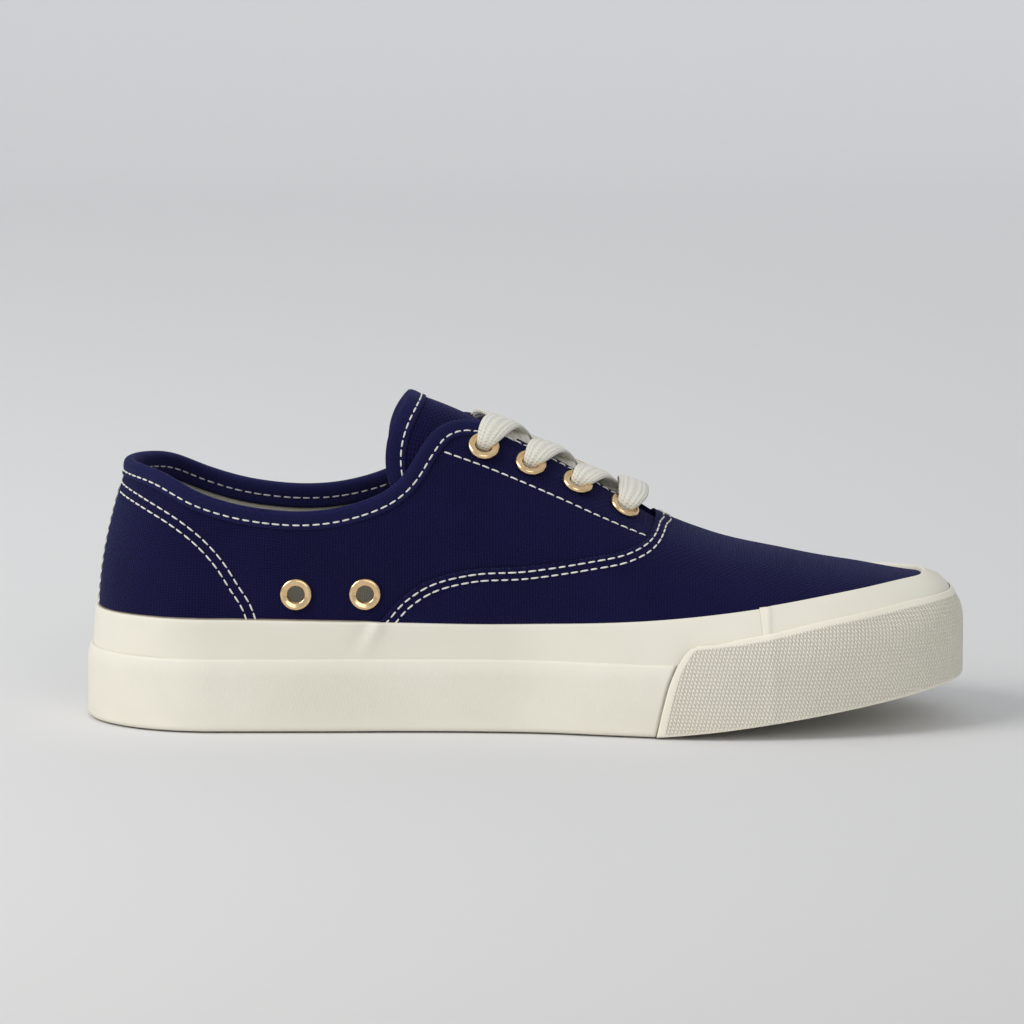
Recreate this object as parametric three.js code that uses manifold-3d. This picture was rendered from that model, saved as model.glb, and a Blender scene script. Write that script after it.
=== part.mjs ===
// Left low-top canvas sneaker with a vulcanised rubber sole.
// Millimetres. +X points to the toe, +Y to the outer side of the foot, +Z up, the floor at z = 0.

import * as THREE from 'three';
import { mergeVertices } from 'three/addons/utils/BufferGeometryUtils.js';
import Module from 'manifold-3d';

const wasm = await Module();
wasm.setup();

// Overall sizes, over the rubber
const soleLength = 265.4;
const ballWidth = 95;
const heelWidth = 68;

// Sole
const heelThickness = 23;
const foreThickness = 14.5;
const toeSpring = 14.5;
const toeSpringLength = 94;
const springPower = 1.2;
const archRecess = 1.2;
const grooveWidth = 2.2;
const grooveDepth = 1.6;
const groovePitch = 11;

// Upper, as heights over its foot line or over the floor
const instepRise = 75;
const toeRise = 16.9;
const canvasWall = 1.8;
const vampStep = 0.8;
const heelLean = 9.7;
const leanPower = 1.75;
const leanStart = 32;
const collarBack = 78.8;
const collarDip = 66.5;
const eyestayTop = 93.2;
const throatFront = 42;
const throatTopWidth = 18.6;
const throatFrontWidth = 12;
const heelRound = 36;
const toeRound = 78;
const toeBoxRound = 11;

// Rubber strips
const gap = 0.3;
const tapeThickness = 1.7;
const frontTapeStep = 0.3;
const frontTapeRise = 0.5;
const frontTapeEdge = 1.2;
const tapeHeelHeight = 34;
const tapeToeHeight = 45.2;
const tapeJointAhead = 32;
const bandThickness = 1.3;
const bandHeight = 22.3;
const bumperThickness = 1.8;
const bumperBack = 93.7;
const bumperSlant = 13.5;
const bumperEndHeight = 28.7;
const bumperToeHeight = 43.5;
const stripLift = 0.6;

// Bindings, tongue and insole
const bindingWidth = 5.6;
const bindingTape = 0.8;
const tongueThickness = 3;
const tongueWidth = 44;
const tongueTop = 98.5;
const tongueFront = 48;
const insoleThickness = 4;

// Eyelets and lace
const eyeletCount = 4;
const eyeletFirst = -12.4;
const eyeletPitch = 14;
const eyeletEdge = 6.4;
const eyeletFlange = 9.8;
const eyeletHole = 5;
const eyeletRim = 0.9;
const eyeletBarrel = 0.6;
const eyeletLift = 0.8;
const ventFirst = -68.3;
const ventPitch = 20.6;
const ventHeight = 41.6;
const laceWidth = 8.5;
const laceThickness = 1.8;

// Offsets of each layer from the canvas's outer face
const tapeOut = gap + tapeThickness;
const frontTapeOut = tapeOut + frontTapeStep;
const bandIn = tapeOut + gap;
const bandOut = bandIn + bandThickness;
const bumperIn = frontTapeOut + gap;
const bumperOut = bumperIn + bumperThickness;
const insideFace = -canvasWall;
const bindingInner = insideFace - gap - bindingTape;
const tongueOuter = bindingInner - gap;
const tongueInner = tongueOuter - tongueThickness;

const heelEnd = -soleLength / 2 + bandOut;
const toeEnd = soleLength / 2 - bumperOut;
const lastLength = toeEnd - heelEnd;
const heelHalf = heelWidth / 2 - bandOut;
const ballHalf = ballWidth / 2 - bumperOut;
const springStart = toeEnd + bumperOut - toeSpringLength;
const far = 300;

// Cross sections of the last, a row each. at: share of the last's length from the heel.
// ridge: the crown's ridge line, share of the ball width. fore: how far the half width follows the ball
// and not the heel. medial, lateral: share of that half width. instep, toe: shares of the two rises.
// inner, outer: exponents of the medial and lateral crown.
const sectionColumns = ['at', 'ridge', 'fore', 'medial', 'lateral', 'instep', 'toe', 'inner', 'outer'];
const sectionRows = [
  [0, 0, 0, 1, 1, 1.19, 0, 3, 3],
  [0.144, 0, 0, 1, 1, 1.213, 0, 3, 3],
  [0.268, -0.01, 0, 0.965, 1.05, 1.16, 0, 3, 2.9],
  [0.366, -0.035, 0.05, 0.855, 1.18, 1.065, 0, 2.7, 2.4],
  [0.443, -0.045, 0.15, 0.805, 1.18, 0.972, 0, 2.5, 2.1],
  [0.521, -0.053, 0.35, 0.775, 1.2, 0.85, 0, 2.5, 2],
  [0.599, -0.053, 0.6, 0.83, 1.21, 0.67, 0.2, 2.4, 2],
  [0.669, -0.049, 0.85, 0.865, 1.16, 0.43, 0.7, 2.3, 2.1],
  [0.716, -0.048, 1, 0.87, 1.107, 0.3, 1, 2.2, 2.1],
  [0.794, -0.058, 1, 0.875, 1.09, 0.195, 1, 2.2, 2.1],
  [0.88, -0.068, 1, 0.865, 1.09, 0.095, 1, 2.3, 2.2],
  [1, -0.079, 1, 0.858, 1.09, 0, 0.95, 2.3, 2.3],
];
const sections = sectionRows.map((row) => Object.fromEntries(
  sectionColumns.map((name, i) => [name, row[i]])));

// Collar edge. back: share of the climb from the dip to the heel, front and outer: share of the climb
// from the dip to the eyestay's top on the medial and the lateral side. seen: how much of a width laid
// along the canvas shows from the side, where the crown turns level.
const collarRows = [
  { at: -0.03, back: 1.02, front: 0, outer: 0, seen: 1 },
  { at: 0.05, back: 1, front: 0, outer: 0, seen: 1 },
  { at: 0.079, back: 0.89, front: 0, outer: 0, seen: 1 },
  { at: 0.127, back: 0.436, front: 0, outer: 0, seen: 1 },
  { at: 0.176, back: 0.14, front: 0, outer: 0, seen: 1 },
  { at: 0.242, back: 0, front: 0, outer: 0, seen: 1 },
  { at: 0.294, back: 0, front: 0.06, outer: 0.05, seen: 1 },
  { at: 0.341, back: 0, front: 0.228, outer: 0.2, seen: 1 },
  { at: 0.363, back: 0, front: 0.42, outer: 0.36, seen: 1 },
  { at: 0.378, back: 0, front: 0.65, outer: 0.54, seen: 1 },
  { at: 0.398, back: 0, front: 0.89, outer: 0.8, seen: 0.8 },
  { at: 0.422, back: 0, front: 0.965, outer: 0.9, seen: 0.6 },
  { at: 0.459, back: 0, front: 0.905, outer: 0.87, seen: 0.5 },
];

// Top edge of the foxing tape, as shares of its heights at heel and toe
const tapeRows = [
  { at: -0.1, heel: 1, toe: 0 },
  { at: 0.18, heel: 1, toe: 0 },
  { at: 0.32, heel: 0.98, toe: 0 },
  { at: 0.474, heel: 0.965, toe: 0 },
  { at: 0.645, heel: 0.88, toe: 0.115 },
  { at: 0.774, heel: 0.6, toe: 0.41 },
  { at: 0.878, heel: 0.25, toe: 0.765 },
  { at: 0.94, heel: 0.04, toe: 0.97 },
  { at: 1.05, heel: 0, toe: 1.04 },
];

// Back edge of the vamp panel. up: share of the height from the tape's top to the throat.
const vampRows = [
  { at: 0.31, up: -0.2 },
  { at: 0.335, up: 0.02 },
  { at: 0.357, up: 0.24 },
  { at: 0.39, up: 0.43 },
  { at: 0.441, up: 0.545 },
  { at: 0.502, up: 0.575 },
  { at: 0.577, up: 0.665 },
  { at: 0.622, up: 0.735 },
  { at: 0.645, up: 0.84 },
  { at: 0.655, up: 1 },
];

// Slanted end of the toe bumper, then its top edge. All are shares of the bumper's own sizes.
const bumperEndRows = [
  { slant: -0.12, up: -0.3 },
  { slant: 0.0, up: 0.0 },
  { slant: 0.15, up: 0.32 },
  { slant: 0.33, up: 0.63 },
  { slant: 0.52, up: 0.82 },
  { slant: 0.73, up: 0.95 },
  { slant: 1.0, up: 1.0 },
];
const bumperTopRows = [
  { along: 0.25, up: 0.235 },
  { along: 0.474, up: 0.493 },
  { along: 0.7, up: 0.68 },
  { along: 0.9, up: 0.905 },
  { along: 1.1, up: 1.15 },
];

// Half widths of the tongue, as shares of its width
const tongueRows = [
  { at: 0.3, medial: 0.4, lateral: 0.58 },
  { at: 0.36, medial: 0.385, lateral: 0.56 },
  { at: 0.45, medial: 0.36, lateral: 0.48 },
  { at: 0.6, medial: 0.33, lateral: 0.4 },
  { at: 0.7, medial: 0.25, lateral: 0.28 },
];

// Top edge of the tongue from the side. back: share of the tongue's width behind its highest point,
// down: share of the tongue's width below that.
const tongueTopRows = [
  { back: -0.3, down: -0.6 },
  { back: -0.03, down: -0.08 },
  { back: 0.04, down: 0.03 },
  { back: 0.11, down: 0.16 },
  { back: 0.15, down: 0.31 },
  { back: 0.14, down: 0.49 },
  { back: 0.05, down: 0.68 },
  { back: -0.12, down: 0.86 },
];

// Middle line of the lace. aside: 0 over the ridge line, 1 over the eyelet. along: share of the eyelets'
// pitch towards the toe. high: height over the canvas, share of that over the eyelet.
// The first table is one half of a crossing, the second the bar.
const crossingRows = [
  { aside: 0.97, along: 0.03, high: 1.12 },
  { aside: 0.66, along: 0.11, high: 1.13 },
  { aside: 0.34, along: 0.2, high: 0.62 },
  { aside: 0, along: 0.32, high: 0.1 },
  { aside: -0.3, along: 0.5, high: -0.38 },
];
const barRows = [
  { aside: -0.97, along: 0, high: 1.02 },
  { aside: -0.62, along: 0, high: 1.4 },
  { aside: 0, along: 0, high: 1.55 },
  { aside: 0.62, along: 0, high: 1.4 },
  { aside: 0.97, along: 0, high: 1.02 },
];

// Number helpers

function mix(a, b, share) {
  return a + (b - a) * share;
}

function smooth(share) {
  const t = THREE.MathUtils.clamp(share, 0, 1);
  return t * t * (3 - 2 * t);
}

// Smooth interpolation of one column of a table with a column "at"
function column(rows, name) {
  const x = rows.map((row) => row.at);
  const y = rows.map((row) => row[name]);
  const count = x.length;
  const slope = y.map((value, i) => {
    if (i === 0 || i === count - 1) return 0;
    const before = (y[i] - y[i - 1]) / (x[i] - x[i - 1]);
    const after = (y[i + 1] - y[i]) / (x[i + 1] - x[i]);
    const weight = (x[i + 1] - x[i]) / (x[i + 1] - x[i - 1]);
    return mix(after, before, weight);
  });
  return (at) => {
    const clamped = THREE.MathUtils.clamp(at, x[0], x[count - 1]);
    let i = 0;
    while (i < count - 2 && clamped > x[i + 1]) i += 1;
    const span = x[i + 1] - x[i];
    const t = (clamped - x[i]) / span;
    const a = y[i] * (1 + 2 * t) * (1 - t) ** 2 + y[i + 1] * (3 - 2 * t) * t ** 2;
    const b = slope[i] * t * (1 - t) ** 2 - slope[i + 1] * (1 - t) * t ** 2;
    return a + b * span;
  };
}

const columns = {};
for (const name of ['ridge', 'fore', 'medial', 'lateral', 'instep', 'toe', 'inner', 'outer']) {
  columns[name] = column(sections, name);
}

function shareAt(x) {
  return (x - heelEnd) / lastLength;
}

function xAt(share) {
  return heelEnd + share * lastLength;
}

// The last

function soleBottom(x) {
  const ahead = Math.max(0, x - springStart) / toeSpringLength;
  return toeSpring * ahead ** springPower;
}

// Height of the line where the upper stands on the sole
function footLine(x) {
  const thickness = mix(heelThickness, foreThickness, columns.fore(shareAt(x)));
  return soleBottom(x) + thickness;
}

// Height of the crown above the foot line, without the rounding of the toe
function crownRise(x) {
  const at = shareAt(x);
  return columns.instep(at) * instepRise + columns.toe(at) * toeRise;
}

function ridgeSlope(x) {
  const step = 1;
  const lower = footLine(x - step) + crownRise(x - step);
  const upper = footLine(x + step) + crownRise(x + step);
  return (upper - lower) / (2 * step);
}

function ridgeY(x) {
  return columns.ridge(shareAt(x)) * ballWidth;
}

const heelCentre = heelEnd + heelRound;
const toeCentre = toeEnd - toeRound;
const toeBoxCentre = toeEnd - toeBoxRound;
const toePlanPower = 2.3;
const toeBoxPower = 2.5;

// The form grown outwards by d is cut at x: its half widths, rise and exponents there
function section(x, d) {
  const at = shareAt(x);
  const half = mix(heelHalf, ballHalf, columns.fore(at));
  const behind = THREE.MathUtils.clamp((heelCentre - x) / (heelRound + d), 0, 1);
  const ahead = THREE.MathUtils.clamp((x - toeCentre) / (toeRound + d), 0, 1);
  const inBox = THREE.MathUtils.clamp((x - toeBoxCentre) / (toeBoxRound + d), 0, 1);
  const heelFactor = Math.sqrt(1 - behind ** 2);
  const toeFactor = (1 - ahead ** toePlanPower) ** (1 / toePlanPower);
  const boxFactor = (1 - inBox ** toeBoxPower) ** (1 / toeBoxPower);
  const slope = ridgeSlope(x);
  return {
    ridge: ridgeY(x),
    foot: footLine(x),
    medial: (columns.medial(at) * half + d) * heelFactor * toeFactor,
    lateral: (columns.lateral(at) * half + d) * heelFactor * toeFactor,
    rise: (crownRise(x) + d * Math.sqrt(1 + slope ** 2)) * boxFactor,
    inner: columns.inner(at),
    outer: columns.outer(at),
  };
}

// The back of the heel leans forwards with height
function lean(x, z) {
  const reach = collarBack - leanStart;
  const up = Math.max(0, z - leanStart) / reach;
  const fade = 1 - smooth((x - heelEnd) / (heelRound * 1.5));
  return heelLean * up ** leanPower * fade;
}

// A point on the crown. turn: 0 at the medial foot line, 1 at the lateral one.
function crownPoint(x, turn, d) {
  const cut = section(x, d);
  const angle = turn * Math.PI;
  const medialSide = turn <= 0.5;
  const thin = Math.max(cut.medial, cut.lateral) < 1e-6;
  const power = medialSide || thin ? cut.inner : cut.outer;
  const reach = medialSide ? cut.medial : cut.lateral;
  const across = Math.max(0, Math.abs(Math.cos(angle))) ** (2 / power) * (medialSide ? -1 : 1);
  const up = Math.max(0, Math.sin(angle)) ** (2 / power);
  const z = cut.foot + cut.rise * up;
  return new THREE.Vector3(x + lean(x, z), cut.ridge + reach * across, z);
}

// The crown's height at a place in plan, ahead of the heel's lean
function crownHeight(x, y, d) {
  const cut = section(x, d);
  const aside = y - cut.ridge;
  const reach = aside < 0 ? cut.medial : cut.lateral;
  const power = aside < 0 ? cut.inner : cut.outer;
  const share = Math.min(1, Math.abs(aside) / reach);
  return cut.foot + cut.rise * (1 - share ** power) ** (1 / power);
}

// Half width of the form grown by d at a height, on one side
function halfAt(x, z, side, d) {
  const cut = section(x, d);
  const reach = side < 0 ? cut.medial : cut.lateral;
  const power = side < 0 ? cut.inner : cut.outer;
  const share = THREE.MathUtils.clamp((z - cut.foot) / cut.rise, 0, 1);
  return reach * (1 - share ** power) ** (1 / power);
}

// Outward direction of the crown at a place in plan
function crownNormal(x, y) {
  const step = 1;
  const ahead = crownHeight(x + step, y, 0) - crownHeight(x - step, y, 0);
  const aside = crownHeight(x, y + step, 0) - crownHeight(x, y - step, 0);
  return new THREE.Vector3(-ahead, -aside, 2 * step).normalize();
}

// How far out the crown lies at a height, on one side
function crownReach(x, z, side, d) {
  const cut = section(x, d);
  const power = side < 0 ? cut.inner : cut.outer;
  const reach = side < 0 ? cut.medial : cut.lateral;
  const share = THREE.MathUtils.clamp((z - cut.foot) / cut.rise, 0, 1);
  return cut.ridge + side * reach * (1 - share ** power) ** (1 / power);
}

// Solids

function manifoldOf(positions, triangles) {
  return new wasm.Manifold(new wasm.Mesh({
    numProp: 3,
    vertProperties: new Float32Array(positions),
    triVerts: new Uint32Array(triangles),
  }));
}

// A solid from one of three's geometries, with its doubled corners joined
function solidOf(geometry) {
  const bare = geometry.index ? geometry.toNonIndexed() : geometry.clone();
  for (const name of Object.keys(bare.attributes)) {
    if (name !== 'position') bare.deleteAttribute(name);
  }
  const merged = mergeVertices(bare, 1e-4);
  return manifoldOf(merged.attributes.position.array, merged.index.array);
}

// A solid from rings of as many points each, one behind the other. Each end is closed by a zigzag between
// the ring's two halves, so that it may be as thin as a line.
function loftOf(rings) {
  const size = rings[0].length;
  const positions = rings.flat().flatMap((point) => point.toArray());
  const triangles = [];
  for (let i = 0; i + 1 < rings.length; i += 1) {
    for (let j = 0; j < size; j += 1) {
      const k = (j + 1) % size;
      const near = i * size;
      const next = near + size;
      triangles.push(near + j, next + k, near + k, near + j, next + j, next + k);
    }
  }
  const end = (rings.length - 1) * size;
  for (let j = 0; 2 * j + 2 < size; j += 1) {
    const twin = size - 1 - j;
    triangles.push(j, j + 1, twin, end + j, end + twin, end + j + 1);
    if (j + 1 < twin - 1) triangles.push(j + 1, twin - 1, twin, end + j + 1, end + twin, end + twin - 1);
  }
  return manifoldOf(positions, triangles);
}

// Places along the last: close together round heel and toe
const heelSteps = 5;
const middleSteps = 10;
const toeSteps = 8;

function stations(d) {
  const places = [];
  for (let i = 0; i < heelSteps; i += 1) {
    const angle = (1 - i / heelSteps) * Math.PI / 2;
    places.push(heelCentre - (heelRound + d) * Math.sin(angle));
  }
  for (let i = 0; i < middleSteps; i += 1) {
    places.push(mix(heelCentre, toeCentre, i / middleSteps));
  }
  for (let i = 0; i <= toeSteps; i += 1) {
    places.push(toeCentre + (toeRound + d) * Math.sin(i / toeSteps * Math.PI / 2));
  }
  return places;
}

const crownSteps = 12;
const formBottom = -20;
const formCache = new Map();

// The last's closed form, grown outwards by d, down to below the floor
function form(d) {
  if (!formCache.has(d)) {
    const rings = stations(d).map((x) => {
      const crown = [];
      for (let j = 0; j <= crownSteps; j += 1) crown.push(crownPoint(x, j / crownSteps, d));
      const feet = [crown[0], crown[crownSteps]].map((point) => point.clone().setZ(formBottom));
      return [feet[0], ...crown, feet[1]];
    });
    formCache.set(d, loftOf(rings));
  }
  return formCache.get(d);
}

function shell(outside, inside) {
  return form(outside).subtract(form(inside));
}

// A prism through the whole shoe, from an outline seen from the side
function sidePrism(points, from = -far, to = far) {
  const shape = new THREE.Shape(points.map((point) => new THREE.Vector2(point.x, point.y)));
  const geometry = new THREE.ExtrudeGeometry(shape, { depth: to - from, bevelEnabled: false });
  geometry.rotateX(Math.PI / 2);
  geometry.translate(0, to, 0);
  return solidOf(geometry);
}

// A prism from an outline seen from above
function planPrism(points, from = -far, to = far) {
  const shape = new THREE.Shape(points.map((point) => new THREE.Vector2(point.x, point.y)));
  const geometry = new THREE.ExtrudeGeometry(shape, { depth: to - from, bevelEnabled: false });
  geometry.translate(0, 0, from);
  return solidOf(geometry);
}

// A line seen from the side as a function of x, sampled between two places
function traced(from, to, count, height) {
  const points = [];
  for (let i = 0; i <= count; i += 1) {
    const x = mix(from, to, i / count);
    points.push(new THREE.Vector2(x, height(x)));
  }
  return points;
}

function curveThrough(points, count) {
  const curve = new THREE.CatmullRomCurve3(
    points.map((point) => new THREE.Vector3(point.x, point.y, 0)), false, 'centripetal');
  return curve.getPoints(count).map((point) => new THREE.Vector2(point.x, point.y));
}

// The same line moved sideways, to the left of its direction, by a function of the place or by a number
function offsetLine(points, distance) {
  return points.map((point, i) => {
    const reach = typeof distance === 'number' ? distance : distance(shareAt(point.x));
    const before = points[Math.max(0, i - 1)];
    const after = points[Math.min(points.length - 1, i + 1)];
    const along = new THREE.Vector2().subVectors(after, before).normalize();
    return new THREE.Vector2(point.x - along.y * reach, point.y + along.x * reach);
  });
}

function above(line) {
  const first = line[0];
  const last = line[line.length - 1];
  return [...line, new THREE.Vector2(last.x, far), new THREE.Vector2(first.x, far)];
}

function below(line) {
  const first = line[0];
  const last = line[line.length - 1];
  return [...line, new THREE.Vector2(last.x, -far), new THREE.Vector2(first.x, -far)];
}

// Outlines seen from the side

// The sole's bottom, flat up to the toe spring, raised by a height
function bottomLine(from, to, lift) {
  const rear = from < springStart ? [new THREE.Vector2(from, lift)] : [];
  const front = traced(Math.max(from, springStart), to, 9, (x) => soleBottom(x) + lift);
  return [...rear, ...front];
}

const pastHeel = -soleLength * 0.55;
const pastToe = soleLength * 0.55;
const footTop = traced(pastHeel, pastToe, 16, footLine);
const footTopRaised = offsetLine(footTop, gap);
const stripBottom = bottomLine(pastHeel, pastToe, stripLift);

const tapeHeel = column(tapeRows, 'heel');
const tapeToe = column(tapeRows, 'toe');

function tapeTop(x) {
  const at = shareAt(x);
  return tapeHeel(at) * tapeHeelHeight + tapeToe(at) * tapeToeHeight;
}

function collarLine(name) {
  const climb = collarBack - collarDip;
  const points = collarRows.map((row) => new THREE.Vector2(
    xAt(row.at), collarDip + row.back * climb + row[name] * (eyestayTop - collarDip)));
  return curveThrough(points, 17);
}

const ridgeAtCollar = ridgeY(xAt(collarRows[0].at));

// The space above the collar's edge moved down by a width of tape and a clearance, a line for each side
function overCollar(width, clearance = 0) {
  const seen = column(collarRows, 'seen');
  const reach = (at) => -(width * seen(at) + clearance);
  const medial = sidePrism(above(offsetLine(collarLine('front'), reach)), -far, ridgeAtCollar);
  const lateral = sidePrism(above(offsetLine(collarLine('outer'), reach)), ridgeAtCollar, far);
  return medial.add(lateral);
}

// The throat's slot, seen from above. Its edges run with the ridge line.
const throatTopX = xAt(0.45);

function throatHalf(x) {
  const share = (x - throatTopX) / (throatFront - throatTopX);
  return mix(throatTopWidth, throatFrontWidth, share) / 2;
}

function throatSlot(grow) {
  const round = throatFrontWidth / 2;
  const start = xAt(0.25);
  const end = throatFront - round;
  const steps = 10;
  const medial = [];
  const lateral = [];
  for (let i = 0; i <= steps; i += 1) {
    const x = mix(start, end, i / steps);
    medial.push(new THREE.Vector2(x, ridgeY(x) - throatHalf(x) - grow));
    lateral.unshift(new THREE.Vector2(x, ridgeY(x) + throatHalf(x) + grow));
  }
  const front = [];
  const turns = 8;
  for (let i = 1; i < turns; i += 1) {
    const angle = (i / turns - 0.5) * Math.PI;
    const reach = round + grow;
    front.push(new THREE.Vector2(end + reach * Math.cos(angle), ridgeY(end) + reach * Math.sin(angle)));
  }
  return planPrism([...medial, ...front, ...lateral], footLine(throatFront) + toeRise / 2, far);
}

// Outsole

function outsole() {
  const bottom = bottomLine(pastHeel, pastToe, 0);
  const profile = sidePrism([...bottom, ...[...footTop].reverse()]);
  let body = form(0).intersect(profile);
  const span = ballWidth * 2;
  const cutters = [];
  const heelFlat = { from: xAt(0.04), to: xAt(0.3) };
  const foreFlat = { from: xAt(0.46), to: xAt(0.97) };
  for (const flat of [heelFlat, foreFlat]) {
    const count = Math.floor((flat.to - flat.from) / groovePitch);
    for (let i = 0; i < count; i += 1) {
      const x = flat.from + (i + 0.5) * groovePitch;
      const height = far + soleBottom(x) + grooveDepth;
      const groove = new THREE.BoxGeometry(grooveWidth, span, height);
      groove.translate(x, 0, soleBottom(x) + grooveDepth - height / 2);
      cutters.push(solidOf(groove));
    }
  }
  const recess = new THREE.BoxGeometry(foreFlat.from - heelFlat.to, span, archRecess * 2);
  recess.translate((foreFlat.from + heelFlat.to) / 2, 0, 0);
  cutters.push(solidOf(recess));
  for (const cutter of cutters) body = body.subtract(cutter);
  return body;
}

// Foxing tape, in two lengths that meet beside the ball

const bumperFoot = soleLength / 2 - bumperBack;
const tapeJoint = bumperFoot + tapeJointAhead;

function foxingTape() {
  const line = traced(pastHeel, tapeJoint - gap, 14, tapeTop);
  const bottom = bottomLine(pastHeel, tapeJoint - gap, stripLift);
  return shell(tapeOut, gap).intersect(sidePrism([...bottom, ...line.reverse()]));
}

function frontTapeTop(x) {
  return tapeTop(x) + frontTapeRise;
}

// Where the canvas shows inside the front tape's top edge, seen from above
function toeWindow(from, inset) {
  const steps = 16;
  const medial = [];
  const lateral = [];
  for (let i = 0; i <= steps; i += 1) {
    const x = Math.max(from, mix(tapeJoint - gap, toeEnd, i / steps));
    const near = halfAt(x, frontTapeTop(x), -1, frontTapeOut) - inset;
    const off = halfAt(x, frontTapeTop(x), 1, frontTapeOut) - inset;
    if (Math.min(near, off) < 1) break;
    medial.push(new THREE.Vector2(x, ridgeY(x) - near));
    lateral.unshift(new THREE.Vector2(x, ridgeY(x) + off));
  }
  return planPrism([...medial, ...lateral]);
}

function frontTape() {
  const line = traced(tapeJoint, pastToe, 8, frontTapeTop);
  const bottom = bottomLine(tapeJoint, pastToe, stripLift);
  const strip = shell(frontTapeOut, gap).intersect(sidePrism([...bottom, ...line.reverse()]));
  return strip.subtract(toeWindow(tapeJoint - gap, frontTapeEdge));
}

// Outline of the bumper's end and top edge, seen from the side

function bumperEnd(back) {
  const points = bumperEndRows.map((row) => new THREE.Vector2(
    bumperFoot + row.slant * bumperSlant - back, row.up * bumperEndHeight));
  return curveThrough(points, 9);
}

function bumperTop() {
  const start = bumperFoot + bumperSlant;
  const points = bumperTopRows.map((row) => new THREE.Vector2(
    mix(start, soleLength / 2, row.along), mix(bumperEndHeight, bumperToeHeight, row.up)));
  return [new THREE.Vector2(start, bumperEndHeight), ...points];
}

function toeBumper() {
  const edge = [...bumperEnd(0), ...curveThrough(bumperTop(), 8).slice(1)];
  const region = sidePrism([...edge, new THREE.Vector2(edge[edge.length - 1].x, edge[0].y)]);
  return shell(bumperOut, bumperIn).subtract(sidePrism(below(stripBottom))).intersect(region);
}

function sideBand() {
  const edge = bumperEnd(gap);
  const first = edge[0];
  const last = edge[edge.length - 1];
  const behind = sidePrism([
    ...edge,
    new THREE.Vector2(last.x, far),
    new THREE.Vector2(-far, far),
    new THREE.Vector2(-far, first.y),
  ]);
  const under = sidePrism(below([new THREE.Vector2(-far, bandHeight), new THREE.Vector2(far, bandHeight)]));
  return shell(bandOut, bandIn).subtract(sidePrism(below(stripBottom))).intersect(behind).intersect(under);
}

// Upper: one canvas shell, with the vamp panel as a step in its wall

const vampLine = curveThrough(vampRows.map((row) => {
  const x = xAt(row.at);
  const throat = footLine(throatFront) + crownRise(throatFront) + 2;
  return new THREE.Vector2(x, mix(tapeTop(x), throat, row.up));
}), 11);

function vampPanel() {
  const last = vampLine[vampLine.length - 1];
  const tape = traced(xAt(0.31), pastToe, 14, (x) => frontTapeTop(x) + gap);
  const region = sidePrism([...vampLine, new THREE.Vector2(last.x, far), new THREE.Vector2(soleLength, far),
    new THREE.Vector2(soleLength, 0), new THREE.Vector2(vampLine[0].x, 0)]);
  const window = toeWindow(tapeJoint + gap, frontTapeEdge + gap).translate([-gap, 0, 0]);
  const clear = sidePrism(above(tape)).add(window);
  return shell(vampStep, -canvasWall / 2).intersect(region).intersect(clear);
}

const laceEyelets = [];
for (const side of [-1, 1]) {
  for (let i = 0; i < eyeletCount; i += 1) {
    const x = eyeletFirst + i * eyeletPitch;
    const y = ridgeY(x) + side * (throatHalf(x) + eyeletEdge);
    const name = `lace_eyelet_${side < 0 ? 'medial' : 'lateral'}_${i + 1}`;
    laceEyelets.push({ name, side, row: i, at: new THREE.Vector3(x, y, crownHeight(x, y, 0)) });
  }
}

const ventEyelets = [0, 1].map((i) => {
  const x = ventFirst + i * ventPitch;
  const y = crownReach(x, ventHeight, -1, 0);
  return { name: `vent_eyelet_${i + 1}`, side: -1, at: new THREE.Vector3(x, y, ventHeight) };
});

// Outward direction of the crown at a point on it
function outward(point, side) {
  const step = 0.5;
  const here = crownReach(point.x, point.z, side, 0);
  const ahead = crownReach(point.x + step, point.z, side, 0) - here;
  const over = crownReach(point.x, point.z + step, side, 0) - here;
  const normal = new THREE.Vector3(-ahead / step, 1, -over / step);
  return normal.multiplyScalar(side).normalize();
}

for (const eyelet of [...laceEyelets, ...ventEyelets]) {
  eyelet.out = outward(eyelet.at, eyelet.side);
  eyelet.turn = new THREE.Quaternion().setFromUnitVectors(new THREE.Vector3(0, 0, 1), eyelet.out);
}

const eyeletSides = 11;
const barrelRadius = eyeletHole / 2 + eyeletBarrel;

// A round hole along an eyelet's own axis
function eyeletBore(eyelet, radius) {
  const depth = canvasWall * 3;
  const rings = [depth, -depth].map((height) => {
    const ring = [];
    for (let i = 0; i < eyeletSides; i += 1) {
      const angle = (i / eyeletSides * 2 - 0.5) * Math.PI;
      const point = new THREE.Vector3(radius * Math.cos(angle), radius * Math.sin(angle), height);
      ring.push(point.applyQuaternion(eyelet.turn).add(eyelet.at));
    }
    return ring;
  });
  return loftOf(rings);
}

function upper() {
  let body = shell(0, insideFace).add(vampPanel());
  body = body.subtract(sidePrism(below(footTopRaised)));
  body = body.subtract(overCollar(bindingTape, gap));
  body = body.subtract(throatSlot(0));
  for (const eyelet of [...laceEyelets, ...ventEyelets]) {
    body = body.subtract(eyeletBore(eyelet, barrelRadius + gap));
  }
  return body;
}

// Collar binding: a tape folded over the collar's edge

function collarBinding() {
  const band = overCollar(bindingWidth).subtract(overCollar(0));
  const folded = shell(gap + bindingTape, bindingInner).intersect(band);
  const canvas = shell(gap, insideFace - gap).subtract(overCollar(bindingTape));
  let body = folded.subtract(canvas).subtract(throatSlot(0));
  for (const eyelet of laceEyelets) {
    body = body.subtract(eyeletBore(eyelet, eyeletFlange / 2 + gap));
  }
  return body;
}

// Tongue, its binding and the insole

const tongueTopX = xAt(0.366);

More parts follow.
